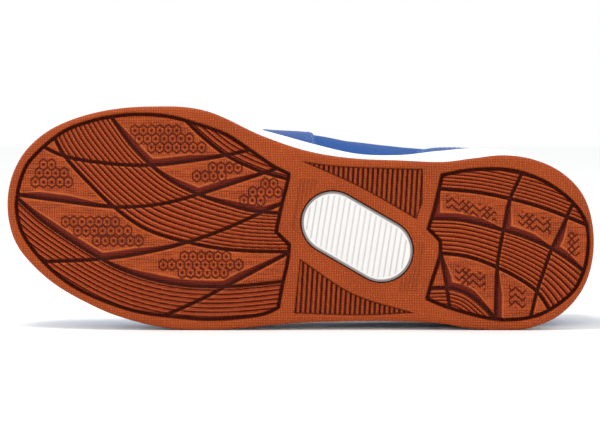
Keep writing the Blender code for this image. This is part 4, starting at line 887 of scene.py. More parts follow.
# Wall lines of the upper: side, share of the length at the sole; then the point on the opening
# as shares of length, ball width and collar height; then rise of the lower handle (collar
# height), belly (ball width), shoulder of the upper handle (ball width) and drop (collar height)
UPPER_LINES = [
    ("toe", 0.0, 0.330, -0.045, 0.690, 0.27, 0.000, 0.42, 0.10),
    ("medial", 0.05, 0.334, -0.080, 0.690, 0.27, 0.000, 0.38, 0.11),
    ("medial", 0.13, 0.342, -0.112, 0.695, 0.26, 0.010, 0.33, 0.12),
    ("medial", 0.22, 0.360, -0.135, 0.715, 0.25, 0.020, 0.28, 0.13),
    ("medial", 0.31, 0.392, -0.150, 0.760, 0.24, 0.035, 0.22, 0.13),
    ("medial", 0.40, 0.440, -0.165, 0.840, 0.24, 0.075, 0.19, 0.14),
    ("medial", 0.50, 0.508, -0.182, 0.955, 0.26, 0.195, 0.17, 0.16),
    ("medial", 0.58, 0.572, -0.205, 1.050, 0.29, 0.225, 0.15, 0.18),
    ("medial", 0.65, 0.630, -0.255, 1.010, 0.29, 0.170, 0.12, 0.20),
    ("medial", 0.72, 0.700, -0.285, 0.870, 0.26, 0.090, 0.09, 0.20),
    ("medial", 0.80, 0.785, -0.270, 0.815, 0.25, 0.045, 0.07, 0.20),
    ("medial", 0.88, 0.870, -0.235, 0.860, 0.26, 0.030, 0.06, 0.22),
    ("medial", 0.955, 0.940, -0.150, 0.945, 0.28, 0.030, 0.05, 0.24),
    ("heel", 1.0, 0.968, 0.030, 0.990, 0.28, 0.035, 0.03, 0.24),
    ("lateral", 0.955, 0.940, 0.210, 0.940, 0.28, 0.030, 0.05, 0.24),
    ("lateral", 0.88, 0.870, 0.285, 0.840, 0.26, 0.030, 0.06, 0.22),
    ("lateral", 0.80, 0.785, 0.305, 0.785, 0.25, 0.035, 0.07, 0.20),
    ("lateral", 0.72, 0.700, 0.295, 0.840, 0.26, 0.045, 0.09, 0.20),
    ("lateral", 0.65, 0.630, 0.225, 0.990, 0.28, 0.050, 0.13, 0.20),
    ("lateral", 0.58, 0.572, 0.130, 1.040, 0.28, 0.050, 0.19, 0.19),
    ("lateral", 0.50, 0.508, 0.098, 0.945, 0.25, 0.045, 0.22, 0.17),
    ("lateral", 0.40, 0.440, 0.075, 0.835, 0.23, 0.035, 0.25, 0.15),
    ("lateral", 0.31, 0.392, 0.060, 0.755, 0.23, 0.025, 0.28, 0.14),
    ("lateral", 0.22, 0.360, 0.042, 0.715, 0.24, 0.015, 0.31, 0.13),
    ("lateral", 0.13, 0.342, 0.018, 0.695, 0.25, 0.005, 0.34, 0.12),
    ("lateral", 0.05, 0.334, -0.012, 0.690, 0.26, 0.000, 0.38, 0.11),
]
UPPER_COLUMNS = ("side", "foot", "top_along", "top_across", "top_height", "rise", "belly", "shoulder", "drop")
LINE_TURNS = [turn_of(row[0], row[1]) for row in UPPER_LINES]


def column(turns, title):
    """Value of one column of the wall lines at each turn."""
    return smooth(LINE_TURNS, [row[UPPER_COLUMNS.index(title)] for row in UPPER_LINES], turns, 2)


def midsole_top(along):
    """Height of the top edge of the white midsole."""
    stack = FOREFOOT_STACK + (HEEL_STACK - FOREFOOT_STACK) * ramp(along, 0.32, 0.86)
    spring = lift(along) * (1 - ramp(along, 0.40, 0.60))
    return stack + spring + TOE_STACK_RISE * (1 - ramp(along, 0.0, 0.14))


def flare(turns):
    """How far the top of the midsole stands out past its foot."""
    keys = [turn_of(side, along) for side, along, out in MIDSOLE_FLARE]
    return smooth(keys, [out for side, along, out in MIDSOLE_FLARE], turns, 2) * MM


def feather_inset(turns):
    """Distance of the upper's outer foot from the gum edge."""
    return flare(turns) - MIDSOLE_SETBACK - CUP_WALL - SEAT_GAP


def cup_lean(turns):
    """How far the upper leans outwards between its foot and the top edge of the midsole."""
    return CUP_DEPTH * column(turns, "belly") * BALL_WIDTH / (column(turns, "rise") * COLLAR_HEIGHT)


def ring_quads(rings, count):
    """Faces between rings of the same number of points."""
    index = np.arange(rings * count).reshape(rings, count)
    after = np.roll(index, -1, axis=1)
    return np.stack((index[:-1], after[:-1], after[1:], index[1:]), axis=-1).reshape(-1, 4)


def ring_solid(rings):
    """Points and faces of a closed solid from rings round the shoe, capped at both ends."""
    count = len(rings[0])
    half = count // 2
    faces = [ring_quads(len(rings), count)]
    for loop in (np.arange(count), np.arange(count) + (len(rings) - 1) * count):
        medial = loop[:half + 1]
        lateral = np.concatenate(([loop[0]], loop[:half - 1:-1]))
        faces.append(np.stack((medial[1:-2], medial[2:-1], lateral[2:-1], lateral[1:-2]), axis=1))
        faces.append(np.array([(medial[0], medial[1], lateral[1], lateral[1]),
                               (medial[-1], medial[-2], lateral[-2], lateral[-2])]))
    return np.concatenate(rings), np.concatenate(faces)


def sole_ring(turns, outwards, heights):
    """Ring of points round the sole, moved out from its edge."""
    x, y, away = sole_outline(turns, outwards)
    return np.stack((x, y, heights), axis=-1)


midsole_turns = np.linspace(0, 2, MIDSOLE_POINTS, endpoint=False)
bottom = side_top(along_of(midsole_turns)) + SEAT_GAP * 0.2
top = midsole_top(along_of(midsole_turns))
grown = flare(midsole_turns)
lean = cup_lean(midsole_turns)
side_wave = 0.5 + 0.5 * np.cos(midsole_turns * math.pi * SIDE_RIBS)
midsole_rings = []
midsole_painted_shade = []
for share, out, low, rib in MIDSOLE_SIDE:
    away = grown * ramp(share, 0.0, 0.45) + lean * ramp(share, 0.5, 1.0) - MIDSOLE_SETBACK
    midsole_rings.append(sole_ring(midsole_turns, away + (out + rib * side_wave) * MM,
                                   bottom + (top - bottom) * share))
    # Painted shade in the recessed bands and between the fine ribs
    midsole_painted_shade.append(low + 0.25 * rib * (1 - side_wave))
inner = grown - MIDSOLE_SETBACK - CUP_WALL
midsole_rings.append(sole_ring(midsole_turns, inner + lean + 0.15 * MM, top - 0.2 * MM))
midsole_rings.append(sole_ring(midsole_turns, inner, top - CUP_DEPTH))
# Painted shade inside the cup, darker towards its floor
midsole_painted_shade += [np.full_like(top, 0.3), np.full_like(top, 0.8)]
foam_white = white_material("midsole_white_foam", (0.86, 0.86, 0.85), (0.46, 0.46, 0.46), 0.55, 380.0)
add_piece("midsole_foam", *ring_solid(midsole_rings), "white_foam", foam_white, "midsole",
          marks={"low": np.concatenate(midsole_painted_shade)})


# Upper shell and lining
# Woven blue synthetic cloth, cut and sewn, pulled over a last and glued into the cup of the
# midsole. A padded dark lining fills the collar. The creases are placed where the foot bends.
WALL = 2.4 * MM
COLLAR_PAD = 4.2 * MM
SHELL_TOP = 0.985
# side, share of the length and height at one end, the same at the other end, half width and
# depth in millimetres
CREASES = [
    ("medial", 0.24, 0.66, "medial", 0.33, 0.16, 3.2, 1.0),
    ("medial", 0.19, 0.60, "medial", 0.25, 0.22, 2.8, 0.7),
    ("medial", 0.30, 0.62, "medial", 0.41, 0.24, 3.5, 0.8),
    ("lateral", 0.22, 0.66, "lateral", 0.30, 0.18, 3.2, 0.9),
    ("lateral", 0.28, 0.60, "lateral", 0.38, 0.22, 3.6, 0.8),
    ("medial", 0.10, 0.72, "lateral", 0.10, 0.72, 3.0, 0.7),
    ("medial", 0.08, 0.62, "lateral", 0.08, 0.62, 3.4, 0.5),
    ("medial", 0.66, 0.62, "medial", 0.80, 0.40, 4.0, 0.8),
    ("lateral", 0.66, 0.60, "lateral", 0.80, 0.42, 4.0, 0.9),
    ("medial", 0.50, 0.55, "medial", 0.62, 0.18, 4.5, 0.7),
    ("lateral", 0.46, 0.52, "lateral", 0.58, 0.20, 4.5, 0.7),
    ("medial", 0.86, 0.80, "medial", 0.97, 0.58, 4.0, 0.7),
    ("lateral", 0.86, 0.78, "lateral", 0.97, 0.58, 4.0, 0.7),
]
TURN_LENGTH = 150 * MM
RISE_LENGTH = 80 * MM


def upper_surface(turns, heights):
    """Outer surface of the upper: turns round the shoe, heights from 0 at the sole to 1 at the opening."""
    x, y, out = sole_outline(turns, feather_inset(turns))
    along = along_of(turns)
    foot = np.stack((x, y, midsole_top(along) - CUP_DEPTH + SEAT_GAP), axis=-1)
    edge_x, edge_y = place(column(turns, "top_along"), column(turns, "top_across"))
    edge = np.stack((edge_x, edge_y, column(turns, "top_height") * COLLAR_HEIGHT), axis=-1)
    out3 = np.concatenate((out, np.zeros(out.shape[:-1] + (1,))), axis=-1)
    lower = foot + out3 * (column(turns, "belly") * BALL_WIDTH)[..., None]
    lower[..., 2] += column(turns, "rise") * COLLAR_HEIGHT
    towards = foot[..., :2] - edge[..., :2]
    towards = towards / np.maximum(np.linalg.norm(towards, axis=-1, keepdims=True), 1 * MM)
    blend = ramp(np.abs(along), 0.60, 0.72)[..., None]
    towards = towards * (1 - blend) + out * blend
    upper = edge.copy()
    upper[..., :2] += towards * (column(turns, "shoulder") * BALL_WIDTH)[..., None]
    upper[..., 2] -= column(turns, "drop") * COLLAR_HEIGHT
    h = np.asarray(heights, float)[..., None]
    return ((1 - h) ** 3 * foot + 3 * (1 - h) ** 2 * h * lower
            + 3 * (1 - h) * h ** 2 * upper + h ** 3 * edge)


def upper_normal(turns, heights):
    """Outward direction of the upper."""
    step = 0.003
    low = np.clip(heights - step, 0, 1)
    high = np.clip(heights + step, 0, 1)
    round_run = upper_surface(turns + step, heights) - upper_surface(turns - step, heights)
    up_run = upper_surface(turns, high) - upper_surface(turns, low)
    normal = np.cross(round_run, up_run)
    return normal / np.linalg.norm(normal, axis=-1, keepdims=True)


def wall_thickness(turns, heights):
    """Wall of the upper, padded round the collar."""
    pad = ramp(heights, 0.50, 0.80) * (1 - 0.45 * ramp(heights, 0.90, 1.0))
    return WALL + COLLAR_PAD * ramp(along_of(turns), 0.65, 0.75) * pad


def cloth_place(side, along, height):
    """Place on the unrolled upper, in metres: medial plus from the toe, lateral minus, and up."""
    return np.array((signed_turn(turn_of(side, along)) * TURN_LENGTH, height * RISE_LENGTH))


def signed_turn(turns):
    """Turns counted from the toe: medial plus, lateral minus."""
    return np.mod(np.asarray(turns) + 1, 2) - 1


def crease(turns, heights):
    """Millimetre-deep troughs with soft ridges beside them, as metres outwards."""
    at_x = signed_turn(turns) * TURN_LENGTH
    at_y = heights * RISE_LENGTH
    total = np.zeros(np.broadcast(at_x, at_y).shape)
    for *ends, half_width, depth in CREASES:
        start = cloth_place(*ends[:3])
        run = cloth_place(*ends[3:]) - start
        share = np.clip(((at_x - start[0]) * run[0] + (at_y - start[1]) * run[1]) / (run @ run), 0, 1)
        sway = 1.2 * MM * np.sin(share * 5.0 + depth * 7.0)
        away = (np.hypot(at_x - start[0] - share * run[0], at_y - start[1] - share * run[1]) + sway) / MM
        trough = -np.exp(-(away / half_width) ** 2)
        ridge = 0.45 * np.exp(-((away - 2.1 * half_width) / half_width) ** 2)
        fade = ramp(share, 0.0, 0.25) * (1 - ramp(share, 0.72, 1.0))
        total = total + (trough + ridge) * depth * MM * fade
    return total


def skin(turns, heights, outwards):
    """Point on the creased upper, moved outwards."""
    turns, heights = np.broadcast_arrays(turns, heights)
    away = np.asarray(outwards) + crease(turns, heights) * ramp(heights, 0.02, 0.12)
    return upper_surface(turns, heights) + upper_normal(turns, heights) * away[..., None]


# Plain weave over the cloth's own two directions, as a height, and soft clouds, as a tone
plain_weave, weave_in, weave_out = new_group("plain_weave", "Threads")
cloth_spot = add_node(plain_weave, "Attribute", attribute_name="cloth").outputs["Vector"]
scaled = add_node(plain_weave, "VectorMath", {0: cloth_spot, "Scale": weave_in.outputs["Threads"]},
                  operation="SCALE")
threads = add_node(plain_weave, "SeparateXYZ", {0: scaled.outputs[0]})
waves = []
for axis in ("X", "Y"):
    turn = add_node(plain_weave, "Math", {0: threads.outputs[axis], 1: math.pi}, operation="MULTIPLY")
    waves.append(add_node(plain_weave, "Math", {0: turn.outputs[0]}, operation="SINE").outputs[0])
crossed = add_node(plain_weave, "Math", {0: waves[0], 1: waves[1]}, operation="MULTIPLY")
raised = add_node(plain_weave, "Math", {0: crossed.outputs[0], 1: 0.5, 2: 0.5}, operation="MULTIPLY_ADD")
plain_weave.links.new(raised.outputs[0], weave_out.inputs["Height"])
plain_weave.links.new(noise(plain_weave, object_place(plain_weave), 38.0, 5.0), weave_out.inputs["Tone"])


def cloth_material(name, deep, light, threads, roughness, sheen, bump_strength):
    """Woven cloth: two tones of thread, soft clouds, and the weave raised."""
    material, shader = new_material(name, roughness, 0.18)
    shader.inputs["Sheen Weight"].default_value = sheen
    tree = material.node_tree
    weave = add_node(tree, "Group", {"Threads": threads}, node_tree=plain_weave)
    thread = blend(tree, weave.outputs["Height"], deep, light)
    middle = tuple(0.5 * (low + high) for low, high in zip(deep, light))
    wire_shader(tree, shader, blend(tree, weave.outputs["Tone"], thread, middle), weave.outputs["Height"],
                bump_strength, 0.0004)
    return material


def running_length(line):
    """Length along a line of points, from 0 at its first point."""
    return np.concatenate(([0], np.cumsum(np.linalg.norm(np.diff(line, axis=0), axis=1))))


def ring_cloth(grid):
    """Corner coordinates for the quads of closed rings: metres round the shoe and metres up."""
    rings, count = grid.shape[:2]
    closed = np.concatenate((grid, grid[:, :1]), axis=1)
    steps = np.linalg.norm(np.diff(grid, axis=0), axis=2).mean(axis=1)
    cloth = np.zeros((rings, count + 1, 3))
    cloth[..., 0] = running_length(closed[rings // 3])[None, :]
    cloth[..., 1] = np.concatenate(([0], np.cumsum(steps)))[:, None]
    corners = np.stack((cloth[:-1, :-1], cloth[:-1, 1:], cloth[1:, 1:], cloth[1:, :-1]), axis=2)
    return corners.reshape(-1, 3)


def closed_rings(rings, count):
    """Faces of rings that come back to the first one."""
    return ring_quads(rings + 1, count) % (rings * count)


def shell_layer(name, turn_count, level_count, outer_share, inner_share, slot, material):
    """Closed layer of the upper's wall, between two shares of its thickness."""
    turns = np.linspace(0, 2, turn_count, endpoint=False)[None, :]
    levels = np.linspace(0, SHELL_TOP, level_count)[:, None]
    outer = skin(turns, levels, -outer_share * wall_thickness(turns, levels))
    inner = skin(turns, levels[::-1], -inner_share * wall_thickness(turns, levels[::-1]))
    inner[-1, :, 2] = outer[0, :, 2]
    grid = np.concatenate((outer, inner))
    add_piece(name, grid.reshape(-1, 3), closed_rings(len(grid), turn_count), slot, material, "upper",
              mend=("turn",), sharp_deg=60, cloth=ring_cloth(np.concatenate((grid, outer[:1]))))


shell_blue = cloth_material("upper_blue_weave", (0.006, 0.048, 0.215), (0.016, 0.092, 0.330), 1150.0, 0.66,
                            0.0, 0.75)
lining_dark = cloth_material("lining_dark_mesh", (0.012, 0.016, 0.030), (0.035, 0.045, 0.080), 800.0, 0.85,
                             0.25, 0.8)
shell_layer("upper_shell", 400, 60, 0.0, 0.46, "blue_upper", shell_blue)
shell_layer("upper_lining", 260, 36, 0.50, 1.0, "dark_lining", lining_dark)


# Collar binding
# A strip of smooth synthetic leather, folded over the edge of shell and lining at the opening
# and sewn through, so that its two legs close the wall.
BINDING_PROUD = 0.35 * MM
BINDING_SWELL = 0.9 * MM
BINDING_STEPS = 16
BINDING_DROP = 0.030
BINDING_BACK = 0.972
BINDING_POINTS = 420
binding_turns = np.linspace(0, 2, BINDING_POINTS, endpoint=False)
at_opening = np.ones(BINDING_POINTS)
rise = upper_surface(binding_turns, at_opening) - upper_surface(binding_turns, at_opening * 0.98)
rise /= np.linalg.norm(rise, axis=-1, keepdims=True)
binding_rings = []
for step in range(BINDING_STEPS + 1):
    angle = math.pi * step / BINDING_STEPS
    level = min(1 - BINDING_DROP * (1 - math.sin(angle)), 1.0)
    thickness = wall_thickness(binding_turns, level)
    away = BINDING_PROUD - (1 - math.cos(angle)) / 2 * (thickness + 2 * BINDING_PROUD)
    binding_rings.append(skin(binding_turns, level, away) + rise * (math.sin(angle) * BINDING_SWELL))
# Back of the strip, inside the wall, between its two legs
thickness = wall_thickness(binding_turns, 1 - BINDING_DROP)
for step in (12, 4):
    share = (1 - math.cos(math.pi * step / BINDING_STEPS)) / 2
    binding_rings.append(skin(binding_turns, BINDING_BACK, -share * thickness))


def leather_material(name, deep, light, roughness):
    """Smooth synthetic leather: fine pebbled grain, tone clouds and a few pale scuffs."""
    material, shader = new_material(name, roughness, 0.3)
    tree = material.node_tree
    spot = object_place(tree)
    cloud = noise(tree, spot, 30.0, 5.0)
    scuff = mask_of(tree, noise(tree, spot, 160.0, 6.0), 0.64, 0.80, to_high=0.5)
    pebble = add_node(tree, "TexVoronoi", {"Vector": spot, "Scale": 900.0}).outputs["Distance"]
    pale = tuple(min(1.0, 1.6 * value + 0.03) for value in light)
    gloss = mask_of(tree, cloud, 0.0, 1.0, roughness - 0.07, roughness + 0.12)
    tree.links.new(gloss, shader.inputs["Roughness"])
    colour = blend(tree, scuff, blend(tree, cloud, deep, light), pale)
    wire_shader(tree, shader, colour, pebble, 0.35, 0.0002)
    return material


overlay_blue = leather_material("overlay_blue_synthetic", (0.005, 0.048, 0.215), (0.009, 0.070, 0.275), 0.50)
binding_blue = leather_material("binding_blue_synthetic", (0.006, 0.036, 0.150), (0.010, 0.056, 0.210), 0.5)
binding_faces = closed_rings(len(binding_rings), BINDING_POINTS)
add_piece("collar_binding", np.concatenate(binding_rings), binding_faces, "blue_overlay", binding_blue)


# Overlays: toe cap, eyestay, heel counter and side panels
# Thin synthetic leather cut to shape, skived at the edges, glued to the shell and sewn down
# with one or two rows of thread.
OVERLAY_GAP = 0.6 * MM
OVERLAY_THICKNESS = 1.3 * MM
OVERLAY_FOOT = 0.025
OVERLAY_SKIVE = 0.9 * MM
EYESTAY_TOP = 0.982
EDGE_STEPS = 4
TOE_CAP_TOP = [
    ("medial", 0.36, 0.10), ("medial", 0.28, 0.24), ("medial", 0.16, 0.36), ("medial", 0.05, 0.45),
    ("toe", 0.0, 0.47), ("lateral", 0.05, 0.45), ("lateral", 0.16, 0.36), ("lateral", 0.28, 0.24),
    ("lateral", 0.38, 0.10),
]
EYESTAY_LOW = [
    ("medial", 0.655, 0.70), ("medial", 0.58, 0.66), ("medial", 0.50, 0.70), ("medial", 0.40, 0.74),
    ("medial", 0.28, 0.79), ("medial", 0.14, 0.81), ("toe", 0.0, 0.80), ("lateral", 0.14, 0.81),
    ("lateral", 0.28, 0.79), ("lateral", 0.40, 0.74), ("lateral", 0.50, 0.70), ("lateral", 0.58, 0.66),
    ("lateral", 0.655, 0.70),
]
COUNTER_TOP = [
    ("medial", 0.70, 0.12), ("medial", 0.78, 0.34), ("medial", 0.88, 0.52), ("medial", 0.96, 0.62),
    ("heel", 1.0, 0.66), ("lateral", 0.96, 0.62), ("lateral", 0.88, 0.52), ("lateral", 0.78, 0.34),
    ("lateral", 0.70, 0.12),
]
# Node, edge line, whether it passes the toe, points round the shoe, points up
OVERLAYS = [
    ("toe_cap", TOE_CAP_TOP, True, 150, 36), ("eyestay", EYESTAY_LOW, True, 230, 30),
    ("heel_counter", COUNTER_TOP, False, 130, 36),
]
# Side panels: share of the length at the sole where each one starts and ends
SIDE_PANELS = [("medial", 0.430, 0.532), ("lateral", 0.400, 0.500)]
PANEL_TOP = 0.72
PANEL_LEAN = -0.035
PANEL_WAIST = 0.18
PANEL_GAP = 0.1 * MM
PANEL_EDGE = 0.3 * MM
PANEL_SWELL = 0.9 * MM


def overlay_line(rows, around_toe):
    """Turns and heights of the rows, as one run that passes the toe or the heel."""
    keys = [turn_of(side, along) for side, along, height in rows]
    if around_toe:
        keys = [key - 2 if side == "lateral" else key for key, (side, along, height) in zip(keys, rows)]
    heights = [height for side, along, height in rows]
    order = np.argsort(keys)
    return np.array(keys)[order], np.array(heights)[order]


def skived(from_edge):
    """Share of the full thickness, thinner near the edge."""
    return 1 - (1 - np.clip(from_edge / OVERLAY_SKIVE, 0, 1)) ** 2


def overlay_piece(node, turns, low, high, steps):
    """Skived sheet on the upper between two heights at each turn."""
    share = np.linspace(0, 1, steps)[:, None]
    levels = low + (high - low) * share
    across = np.linspace(0, 1, len(turns))
    run = running_length(skin(turns, low, 0.0))[-1]
    rise = np.linalg.norm(skin(turns, high, 0.0) - skin(turns, low, 0.0), axis=1)
    from_edge = np.minimum(np.minimum(share, 1 - share) * rise, np.minimum(across, 1 - across) * run)
    front = skin(turns, levels, OVERLAY_GAP + OVERLAY_THICKNESS * (0.25 + 0.75 * skived(from_edge)))
    back = skin(turns, levels, 0.15 * MM)
    add_piece(node + "_panel", *sandwich(front, back), "blue_overlay", overlay_blue, node, sharp_deg=70)


def fine_edges(count, edge_steps):
    """Shares from 0 to 1, close together at both ends."""
    inner = np.linspace(0, 1, count)
    edge = np.linspace(0, inner[1], edge_steps + 1)[:-1]
    return np.concatenate((edge, inner[1:-1], 1 - edge[::-1]))


def panel_turns(side, start, end, across, levels):
    """Turns on a side panel: across is -1 at its front edge and 1 at its rear edge."""
    narrow = 1 - PANEL_WAIST * np.sin(levels / PANEL_TOP * math.pi)
    middle = (start + end) / 2 + PANEL_LEAN * (levels / PANEL_TOP) ** 1.2
    turns = np.arccos(1 - 2 * (middle + across * (end - start) / 2 * narrow)) / math.pi
    return 2 - turns if side == "lateral" else turns


overlay_lines = []
for node, rows, around_toe, count, steps in OVERLAYS:
    keys, heights = overlay_line(rows, around_toe)
    turns = keys[0] + (keys[-1] - keys[0]) * fine_edges(count, EDGE_STEPS)
    line = smooth(keys, heights, turns)
    flat_line = np.full_like(turns, EYESTAY_TOP if node == "eyestay" else OVERLAY_FOOT)
    low, high = (line, flat_line) if node == "eyestay" else (flat_line, line)
    overlay_piece(node, turns, low, high, steps)
    overlay_lines.append((turns, line))
panel_across = fine_edges(34, EDGE_STEPS)
panel_levels = np.linspace(OVERLAY_FOOT, PANEL_TOP, 60)[:, None]
for side, start, end in SIDE_PANELS:
    turns = panel_turns(side, start, end, 2 * panel_across - 1, panel_levels)
    full = skived(np.minimum(panel_across, 1 - panel_across) * (end - start) * LENGTH)
    front = skin(turns, panel_levels, PANEL_EDGE + PANEL_SWELL * full)
    back = skin(turns, panel_levels, PANEL_GAP)
    add_piece("side_panel_" + side, *sandwich(front, back), "blue_overlay", overlay_blue, sharp_deg=70)


# Stitches
# Bonded blue thread, sewn by machine through overlays and shell at two to three millimetres a
# stitch, each one pulled a little into the sheet.
STITCH_PITCH = 2.9 * MM
STITCH_LENGTH = 2.2 * MM
STITCH_WIDTH = 0.62 * MM
SEAM_INSETS = (0.030, 0.062)
STAY_SEAM_INSET = 0.022
STAY_SEAM_TOP = 0.962
PANEL_FACE = 1.2 * MM
stitch_points = []
stitch_faces = []


def sew(line, normals):
    """Row of stitches along a line of standing points."""
    at = running_length(line)
    for number in range(int(at[-1] / STITCH_PITCH)):
        spot = (number + 0.5) * STITCH_PITCH
        middle, ahead, up = [np.array([np.interp(along, at, values[:, axis]) for axis in range(3)])
                             for along, values in ((spot, line), (spot + 0.3 * MM, line), (spot, normals))]
        run = (ahead - middle) / max(np.linalg.norm(ahead - middle), 1e-9)
        side = np.cross(up, run)
        side /= max(np.linalg.norm(side), 1e-9)
        base = len(stitch_points)
        stitch_points.append(middle - run * STITCH_LENGTH / 2)
        for place_on, size in ((-0.36, 0.8), (0.0, 1.0), (0.36, 0.8)):
            for corner in range(6):
                angle = corner * math.pi / 3
                stitch_points.append(middle + run * STITCH_LENGTH * place_on
                                     + side * math.cos(angle) * STITCH_WIDTH / 2 * size
                                     + up * math.sin(angle) * STITCH_WIDTH / 2.6 * size)
        stitch_points.append(middle + run * STITCH_LENGTH / 2)
        for corner in range(6):
            after = (corner + 1) % 6
            stitch_faces.append((base, base + 1 + corner, base + 1 + after))
            for ring in (base + 1, base + 7):
                stitch_faces.append((ring + corner, ring + 6 + corner, ring + 6 + after, ring + after))
            stitch_faces.append((base + 19, base + 13 + after, base + 13 + corner))


def sew_on_upper(turns, heights, outwards):
    """Row of stitches on the upper at each turn and height."""
    turns, heights = np.broadcast_arrays(turns, heights)
    sew(skin(turns, heights, outwards), upper_normal(turns, heights))


overlay_face = OVERLAY_GAP + OVERLAY_THICKNESS
(toe_turns, toe_top), (stay_turns, stay_low), (heel_turns, heel_top) = overlay_lines
seams = ([(toe_turns, toe_top - inset) for inset in SEAM_INSETS]
         + [(stay_turns, stay_low + STAY_SEAM_INSET), (stay_turns, STAY_SEAM_TOP)]
         + [(heel_turns, heel_top - inset) for inset in SEAM_INSETS])
for turns, heights in seams:
    sew_on_upper(turns, heights, overlay_face)
# Two rows down the back of the heel, then two on each side panel
for offset in (-0.012, 0.012):
    sew_on_upper(1.0 + offset, np.linspace(0.68, 0.95, 60), 0.1 * MM)
panel_seam = np.linspace(0.07, 0.68, 60)
for side, start, end in SIDE_PANELS:
    for across in (-0.84, 0.84):
        sew_on_upper(panel_turns(side, start, end, across, panel_seam), panel_seam, PANEL_FACE)
thread_blue = cloth_material("thread_blue", (0.050, 0.160, 0.430), (0.100, 0.260, 0.600), 3000.0, 0.5,
                             0.1, 0.3)
add_piece("stitches", np.array(stitch_points), stitch_faces, "blue_overlay", thread_blue, mend=(),
          sharp_deg=None)


# Insole
# A foam foot bed with a dark cloth top, cut to the inside of the upper and laid in loose, its
# edge rounded.
INSOLE_GAP = 1.3 * MM
INSOLE_POINTS = 240
# Millimetres out from the inner wall and up from the seat, from the foot round the edge to the top
INSOLE_EDGE = [
    (-0.4, 0.0), (-0.1, 0.3), (0.0, 0.8), (0.0, 2.6), (-0.2, 3.3), (-0.9, 3.6), (-2.5, 3.6), (-6.0, 3.2),
    (-12.0, 2.9),
]
insole_turns = np.linspace(0, 2, INSOLE_POINTS, endpoint=False)
seat = midsole_top(along_of(insole_turns)) - CUP_DEPTH + SEAT_GAP
inner = feather_inset(insole_turns) - WALL - INSOLE_GAP
insole_rings = [sole_ring(insole_turns, inner + out * MM, seat + up * MM) for out, up in INSOLE_EDGE]
insole_dark = leather_material("insole_dark_cloth", (0.016, 0.020, 0.036), (0.034, 0.042, 0.070), 0.8)
add_piece("insole_bed", *ring_solid(insole_rings), "dark_lining", insole_dark, "insole")


# Tongue
# Two layers of cloth with foam between, sewn round the edge, lying under the throat and rising
# above the top eyelets.
TONGUE_SECTIONS = [
    (0.280, 0.570, -0.045, 0.150), (0.330, 0.650, -0.045, 0.165), (0.390, 0.748, -0.045, 0.175),
    (0.440, 0.838, -0.045, 0.185), (0.508, 0.970, -0.042, 0.195), (0.560, 1.080, -0.048, 0.185),
    (0.600, 1.175, -0.046, 0.185), (0.628, 1.245, -0.042, 0.180), (0.640, 1.275, -0.032, 0.160),
]
TONGUE_FALL = 0.16
TONGUE_THICKNESS = 4.5 * MM
TONGUE_GAP = 1.5 * MM
TONGUE_SEARCH = 22 * MM
TONGUE_SIDE_ROOM = 4.5 * MM
TONGUE_ROWS = 60
TONGUE_COLUMNS = 33


def standing_trees(names):
    """Search trees of the named objects' faces, standing."""
    trees = []
    for item in [bpy.data.objects[name].data for name in names]:
        corners = np.empty(len(item.vertices) * 3)
        item.vertices.foreach_get("co", corners)
        lying = (corners.reshape(-1, 3) + np.array(LIE_SHIFT)) @ LIE_TURN
        standing = np.stack((lying[:, 0], -lying[:, 2], lying[:, 1]), axis=1)
        faces = [tuple(face.vertices) for face in item.polygons]
        trees.append(BVHTree.FromPolygons(standing.tolist(), faces))
    return trees


def first_hit(trees, start, direction):
    """Distance from a point to the first face in a direction, or nothing."""
    found = [tree.ray_cast(Vector(start), Vector(direction))[3] for tree in trees]
    return min([distance for distance in found if distance is not None], default=None)


upper_trees = standing_trees(["upper"])
tongue_keys, *tongue_columns = zip(*TONGUE_SECTIONS)
tongue_along = np.linspace(tongue_keys[0], tongue_keys[-1], TONGUE_ROWS)
crown, tongue_middle, tongue_half = [smooth(tongue_keys, values, tongue_along) for values in tongue_columns]
tongue_across = -np.cos(np.linspace(0, math.pi, TONGUE_COLUMNS))
tongue_top = np.empty((TONGUE_ROWS, TONGUE_COLUMNS, 3))
for row in range(TONGUE_ROWS):
    x = (tongue_along[row] - 0.5) * LENGTH
    middle = tongue_middle[row] * BALL_WIDTH
    for index, share in enumerate(tongue_across):
        z = (crown[row] - TONGUE_FALL * abs(share) ** 2.2) * COLLAR_HEIGHT
        out = tongue_half[row] * BALL_WIDTH * abs(share)
        hand = 1 if share > 0 else -1
        room = first_hit(upper_trees, (x, middle, z - TONGUE_SEARCH), (0, hand, 0))
        if room is not None:
            out = min(out, room - TONGUE_SIDE_ROOM)
        y = middle + hand * out
        ceiling = first_hit(upper_trees, (x, y, z - TONGUE_SEARCH), (0, 0, 1))
        if ceiling is not None:
            z = min(z, z - TONGUE_SEARCH + ceiling - TONGUE_GAP)
        tongue_top[row, index] = (x, y, z)
# Smoothed along and across
for repeat in range(6):
    tongue_top[1:-1] = (tongue_top[:-2] + 2 * tongue_top[1:-1] + tongue_top[2:]) / 4
    tongue_top[:, 1:-1] = (tongue_top[:, :-2] + 2 * tongue_top[:, 1:-1] + tongue_top[:, 2:]) / 4
down = np.cross(np.gradient(tongue_top, axis=0), np.gradient(tongue_top, axis=1))
down /= np.maximum(np.linalg.norm(down, axis=-1, keepdims=True), 1e-12)
down *= -np.sign(down[..., 2:3])
round_side = np.sqrt(np.clip(1 - np.abs(tongue_across) ** 4, 0, 1))[None, :]
end_share = np.linspace(0, 1, TONGUE_ROWS)
round_end = np.sqrt(np.clip(1 - np.clip((end_share - 0.93) / 0.07, 0, 1) ** 2, 0.0, 1))[:, None]
puff = 0.10 + 0.90 * round_side * round_end
middle_line = tongue_top + down * (TONGUE_THICKNESS / 2)
seam_low = np.exp(-((np.abs(tongue_across) - 0.80) / 0.05) ** 2)[None, :] * 0.8 * MM
